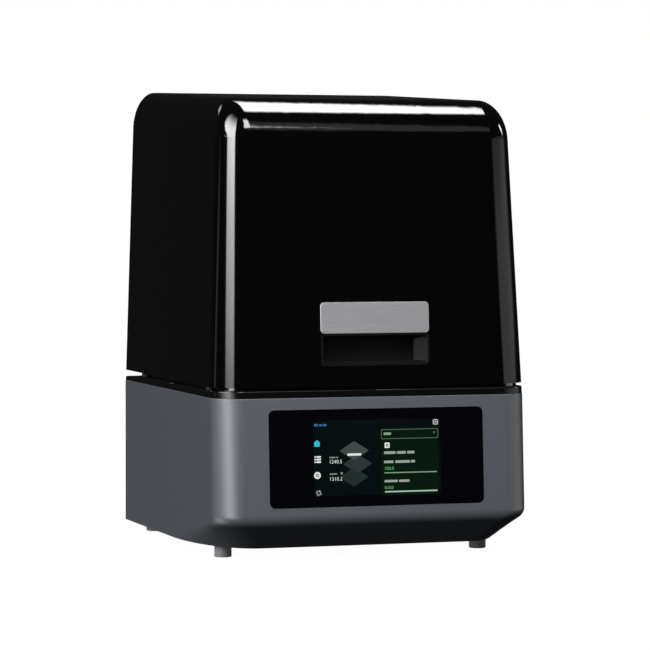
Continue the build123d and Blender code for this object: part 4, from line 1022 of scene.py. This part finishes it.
add_node(tree, "ShaderNodeOutputMaterial", links={"Surface": (coat, 0)})
dress(satin_acrylic, "deck_cover")
deck_screw = cap_screw(
    head_radius=3.5 * mm, head_height=1.5 * mm, shank_radius=1.75 * mm, shank_length=11 * mm
)
DECK_SCREW_SEAT = 195.7
deck_holes = [(x, y, DECK_SCREW_SEAT) for x in (-171, 171) for y in (-110.82, 59.18)]
set_screws("deck_screws", deck_screw, deck_holes, "base")

# Exposure screen and lens plate: a bonded liquid-crystal panel over a sheet of acrylic lenses. Both
# look nearly black in their dark box. The cells' grid is drawn 1.5 mm wide, coarse enough to show.
panel_glass, tree = finish("exposure_panel_glass")
place = add_node(tree, "ShaderNodeTexCoord")
cells = add_node(
    tree,
    "ShaderNodeTexBrick",
    offset=0.0,
    squash=1.0,
    inputs={
        "Color1": linear("#0b0c12"),
        "Color2": linear("#0e1018"),
        "Mortar": linear("#050508"),
        "Scale": 1.0,
        "Mortar Size": 0.00012,
        "Brick Width": 0.0015,
        "Row Height": 0.0015,
    },
    links={"Vector": (place, "Object")},
)
coat = add_node(
    tree,
    "ShaderNodeBsdfPrincipled",
    inputs={"Roughness": 0.06, "IOR": 1.52},
    links={"Base Color": (cells, "Color")},
)
add_node(tree, "ShaderNodeOutputMaterial", links={"Surface": (coat, 0)})
dress(panel_glass, "exposure_screen", "lens_plate")

# Lift column: a milled column whose foot is held to the machine plate by four cap screws from
# above, in the black-oxide steel of the others.
column_screw = cap_screw(
    head_radius=4 * mm, head_height=3 * mm, shank_radius=2.5 * mm, shank_length=13.5 * mm
)
COLUMN_SCREW_SEAT = 191.2
column_holes = [(x, y, COLUMN_SCREW_SEAT) for x in (-56, 56) for y in (99.18, 135.18)]
set_screws("column_screws", column_screw, column_holes, "base")

# Lead screw: rolled stainless steel, 8 mm across, with a four-start trapezoidal thread of 2 mm
# pitch. One tooth after another is drawn up the side and wound round once, 8 mm higher.
SCREW_LOW = 140.3 * mm
SCREW_HIGH = 502.66 * mm
SCREW_AXIS_Y = 99.182 * mm
PITCH = 2 * mm
STARTS = 4
CREST = 4.0 * mm
ROOT = 3.1 * mm
SPARE = 5 * PITCH
outline = []
climb = SCREW_LOW - SPARE
while climb < SCREW_HIGH + SPARE:
    # A tooth's corners: each one's share of the pitch, and its radius.
    for share, radius in ((0.0, CREST), (0.34, CREST), (0.5, ROOT), (0.84, ROOT)):
        outline.append((radius, 0, climb + share * PITCH))
    climb += PITCH
thread = bpy.data.meshes.new("threaded_screw")
thread.from_pydata(outline, [(i, i + 1) for i in range(len(outline) - 1)], [])
threaded_screw = bpy.data.objects.new("threaded_screw", thread)
bpy.context.scene.collection.objects.link(threaded_screw)
bpy.ops.object.select_all(action="DESELECT")
threaded_screw.select_set(True)
bpy.context.view_layer.objects.active = threaded_screw
winding = threaded_screw.modifiers.new("winding", "SCREW")
winding.angle = 2 * pi
winding.screw_offset = STARTS * PITCH
winding.steps = winding.render_steps = 24
winding.use_merge_vertices = True
bpy.ops.object.modifier_apply(modifier="winding")
bpy.ops.object.mode_set(mode="EDIT")
bpy.ops.mesh.select_mode(type="VERT")
bpy.ops.mesh.select_all(action="SELECT")
bpy.ops.mesh.remove_doubles(threshold=0.01 * mm)
for end, outward in ((SCREW_LOW, -1), (SCREW_HIGH, 1)):
    bpy.ops.mesh.bisect(
        plane_co=(0, 0, end), plane_no=(0, 0, outward), use_fill=True, clear_outer=True
    )
    bpy.ops.mesh.select_all(action="SELECT")
bpy.ops.mesh.normals_make_consistent(inside=False)
bpy.ops.object.mode_set(mode="OBJECT")
threaded_screw.data.transform(Matrix.Translation((0, SCREW_AXIS_Y, 0)))
bpy.ops.object.shade_smooth_by_angle(angle=radians(30))
threaded_screw.data.materials.append(ground_steel)
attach(threaded_screw, "screw")
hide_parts("lead_screw")

# Lead nut: turned bronze, let into the carriage plate's lug up to its flange. The lathe leaves
# marks under 2 mm wide, which vary its colour a little.
turned_bronze, tree = finish("turned_bronze")
place = add_node(tree, "ShaderNodeTexCoord")
marks = add_node(
    tree,
    "ShaderNodeTexNoise",
    inputs={"Scale": 600.0, "Detail": 2.0},
    links={"Vector": (place, "Object")},
)
tone = add_node(
    tree,
    "ShaderNodeMix",
    data_type="RGBA",
    inputs={6: linear("#a97f45"), 7: linear("#c89c5b")},
    links={0: (marks, "Fac")},
)
coat = add_node(
    tree,
    "ShaderNodeBsdfPrincipled",
    inputs={"Metallic": 1.0, "Roughness": 0.34},
    links={"Base Color": (tone, 2)},
)
add_node(tree, "ShaderNodeOutputMaterial", links={"Surface": (coat, 0)})
dress(turned_bronze, "lead_nut")

# Build platform: aluminium blasted with fine grit, so that printed resin grips its lower face. The
# blasting leaves 0.6 mm pits, matt and evenly rough. Four levelling screws bear on it through the
# arm.
blasted_aluminium, tree = finish("grit_blasted_aluminium")
place = add_node(tree, "ShaderNodeTexCoord")
grit = add_node(
    tree,
    "ShaderNodeTexNoise",
    inputs={"Scale": 1600.0, "Detail": 4.0},
    links={"Vector": (place, "Object")},
)
texture = add_node(
    tree,
    "ShaderNodeBump",
    inputs={"Strength": 0.5, "Distance": 0.0003},
    links={"Height": (grit, "Fac")},
)
tone = add_node(
    tree,
    "ShaderNodeMix",
    data_type="RGBA",
    inputs={6: linear("#a9abad"), 7: linear("#c2c4c5")},
    links={0: (grit, "Fac")},
)
coat = add_node(
    tree,
    "ShaderNodeBsdfPrincipled",
    inputs={"Metallic": 1.0, "Roughness": 0.52},
    links={"Base Color": (tone, 2), "Normal": (texture, 0)},
)
add_node(tree, "ShaderNodeOutputMaterial", links={"Surface": (coat, 0)})
dress(blasted_aluminium, "build_platform")
level_screw = cap_screw(
    head_radius=4.5 * mm, head_height=3.5 * mm, shank_radius=2.5 * mm, shank_length=16 * mm
)
LEVEL_SCREW_SEAT = 354.3
level_holes = [(x, y, LEVEL_SCREW_SEAT) for x in (-24, 24) for y in (-44.82, -6.82)]
set_screws("levelling_screws", level_screw, level_holes, "carriage")

# Vat film: a clear fluoropolymer sheet drawn tight by the steel ring under the vat's frame. It is
# smooth and nearly invisible, with shallow ripples 40 mm long.
clear_film, tree = finish("clear_fluoropolymer_film")
place = add_node(tree, "ShaderNodeTexCoord")
ripple = add_node(
    tree,
    "ShaderNodeTexNoise",
    inputs={"Scale": 25.0, "Detail": 1.0},
    links={"Vector": (place, "Object")},
)
texture = add_node(
    tree,
    "ShaderNodeBump",
    inputs={"Strength": 0.1, "Distance": 0.0005},
    links={"Height": (ripple, "Fac")},
)
coat = add_node(
    tree,
    "ShaderNodeBsdfPrincipled",
    inputs={
        "Base Color": linear("#eef1f2"),
        "Roughness": 0.08,
        "IOR": 1.34,
        "Transmission Weight": 0.92,
    },
    links={"Normal": (texture, 0)},
)
add_node(tree, "ShaderNodeOutputMaterial", links={"Surface": (coat, 0)})
dress(clear_film, "vat_film")

# Hood: thick black acrylic, cast and polished, so that it mirrors the softboxes. Polishing leaves
# faint swirls of 2 to 3 mm that blur the mirror a little.
gloss_black, tree = finish("polished_black_acrylic")
place = add_node(tree, "ShaderNodeTexCoord")
swirl = add_node(
    tree,
    "ShaderNodeTexNoise",
    inputs={"Scale": 420.0, "Detail": 5.0},
    links={"Vector": (place, "Object")},
)
sheen = add_node(
    tree,
    "ShaderNodeMapRange",
    inputs={"To Min": 0.035, "To Max": 0.06},
    links={"Value": (swirl, "Fac")},
)
polish = add_node(
    tree,
    "ShaderNodeBsdfPrincipled",
    inputs={"Base Color": linear("#010101"), "IOR": 1.5},
    links={"Roughness": (sheen, 0)},
)
add_node(tree, "ShaderNodeOutputMaterial", links={"Surface": (polish, 0)})
dress(gloss_black, "hood_shell")

# Handle pocket: a black cup moulded with a satin face, in 0.7 mm grains, and let into the hood
# under the plate. Its walls throw almost no light back, so only its right wall and lower lip show.
pocket_black, tree = finish("satin_black_cup")
place = add_node(tree, "ShaderNodeTexCoord")
grain = add_node(
    tree,
    "ShaderNodeTexNoise",
    inputs={"Scale": 1500.0, "Detail": 2.0},
    links={"Vector": (place, "Object")},
)
sheen = add_node(
    tree,
    "ShaderNodeMapRange",
    inputs={"To Min": 0.24, "To Max": 0.34},
    links={"Value": (grain, "Fac")},
)
tone = add_node(
    tree,
    "ShaderNodeMix",
    data_type="RGBA",
    inputs={6: linear("#020202"), 7: linear("#040404")},
    links={0: (grain, "Fac")},
)
coat = add_node(
    tree, "ShaderNodeBsdfPrincipled", links={"Base Color": (tone, 2), "Roughness": (sheen, 0)}
)
add_node(tree, "ShaderNodeOutputMaterial", links={"Surface": (coat, 0)})
dress(pocket_black, "handle_pocket")

# Handle plate: satin aluminium brushed from side to side. The brush leaves fine lines, drawn 0.4 mm
# apart so that they show, which draw the light out up and down the plate.
brushed_plate, tree = finish("brushed_aluminium")
place = add_node(tree, "ShaderNodeTexCoord")
stretch = add_node(
    tree,
    "ShaderNodeMapping",
    inputs={"Scale": (0.02, 1.0, 1.0)},
    links={"Vector": (place, "Object")},
)
brush = add_node(
    tree,
    "ShaderNodeTexNoise",
    inputs={"Scale": 2400.0, "Detail": 4.0},
    links={"Vector": (stretch, 0)},
)
tone = add_node(
    tree,
    "ShaderNodeMix",
    data_type="RGBA",
    inputs={6: linear("#8d8d8e"), 7: linear("#b4b4b5")},
    links={0: (brush, "Fac")},
)
sheen = add_node(
    tree,
    "ShaderNodeMapRange",
    inputs={"To Min": 0.34, "To Max": 0.5},
    links={"Value": (brush, "Fac")},
)
texture = add_node(
    tree,
    "ShaderNodeBump",
    inputs={"Strength": 0.15, "Distance": 0.0001},
    links={"Height": (brush, "Fac")},
)
coat = add_node(
    tree,
    "ShaderNodeBsdfPrincipled",
    inputs={"Metallic": 0.88},
    links={"Base Color": (tone, 2), "Roughness": (sheen, 0), "Normal": (texture, 0)},
)
add_node(tree, "ShaderNodeOutputMaterial", links={"Surface": (coat, 0)})
dress(brushed_plate, "handle_plate")

# Hinge: the deck's brackets are held by four cap screws from above, and the hood's by plain screws
# from inside, all of the same black-oxide steel.
hinge_screw = cap_screw(
    head_radius=3.4 * mm, head_height=2 * mm, shank_radius=2 * mm, shank_length=10 * mm
)
HINGE_SCREW_Y = 162.182
HINGE_SCREW_SEAT = 199.7
hinge_holes = [(x, HINGE_SCREW_Y, HINGE_SCREW_SEAT) for x in (-143, -107, 107, 143)]
set_screws("hinge_screws", hinge_screw, hinge_holes, "base")
dress(oxide_steel, "hood_bracket_screws")
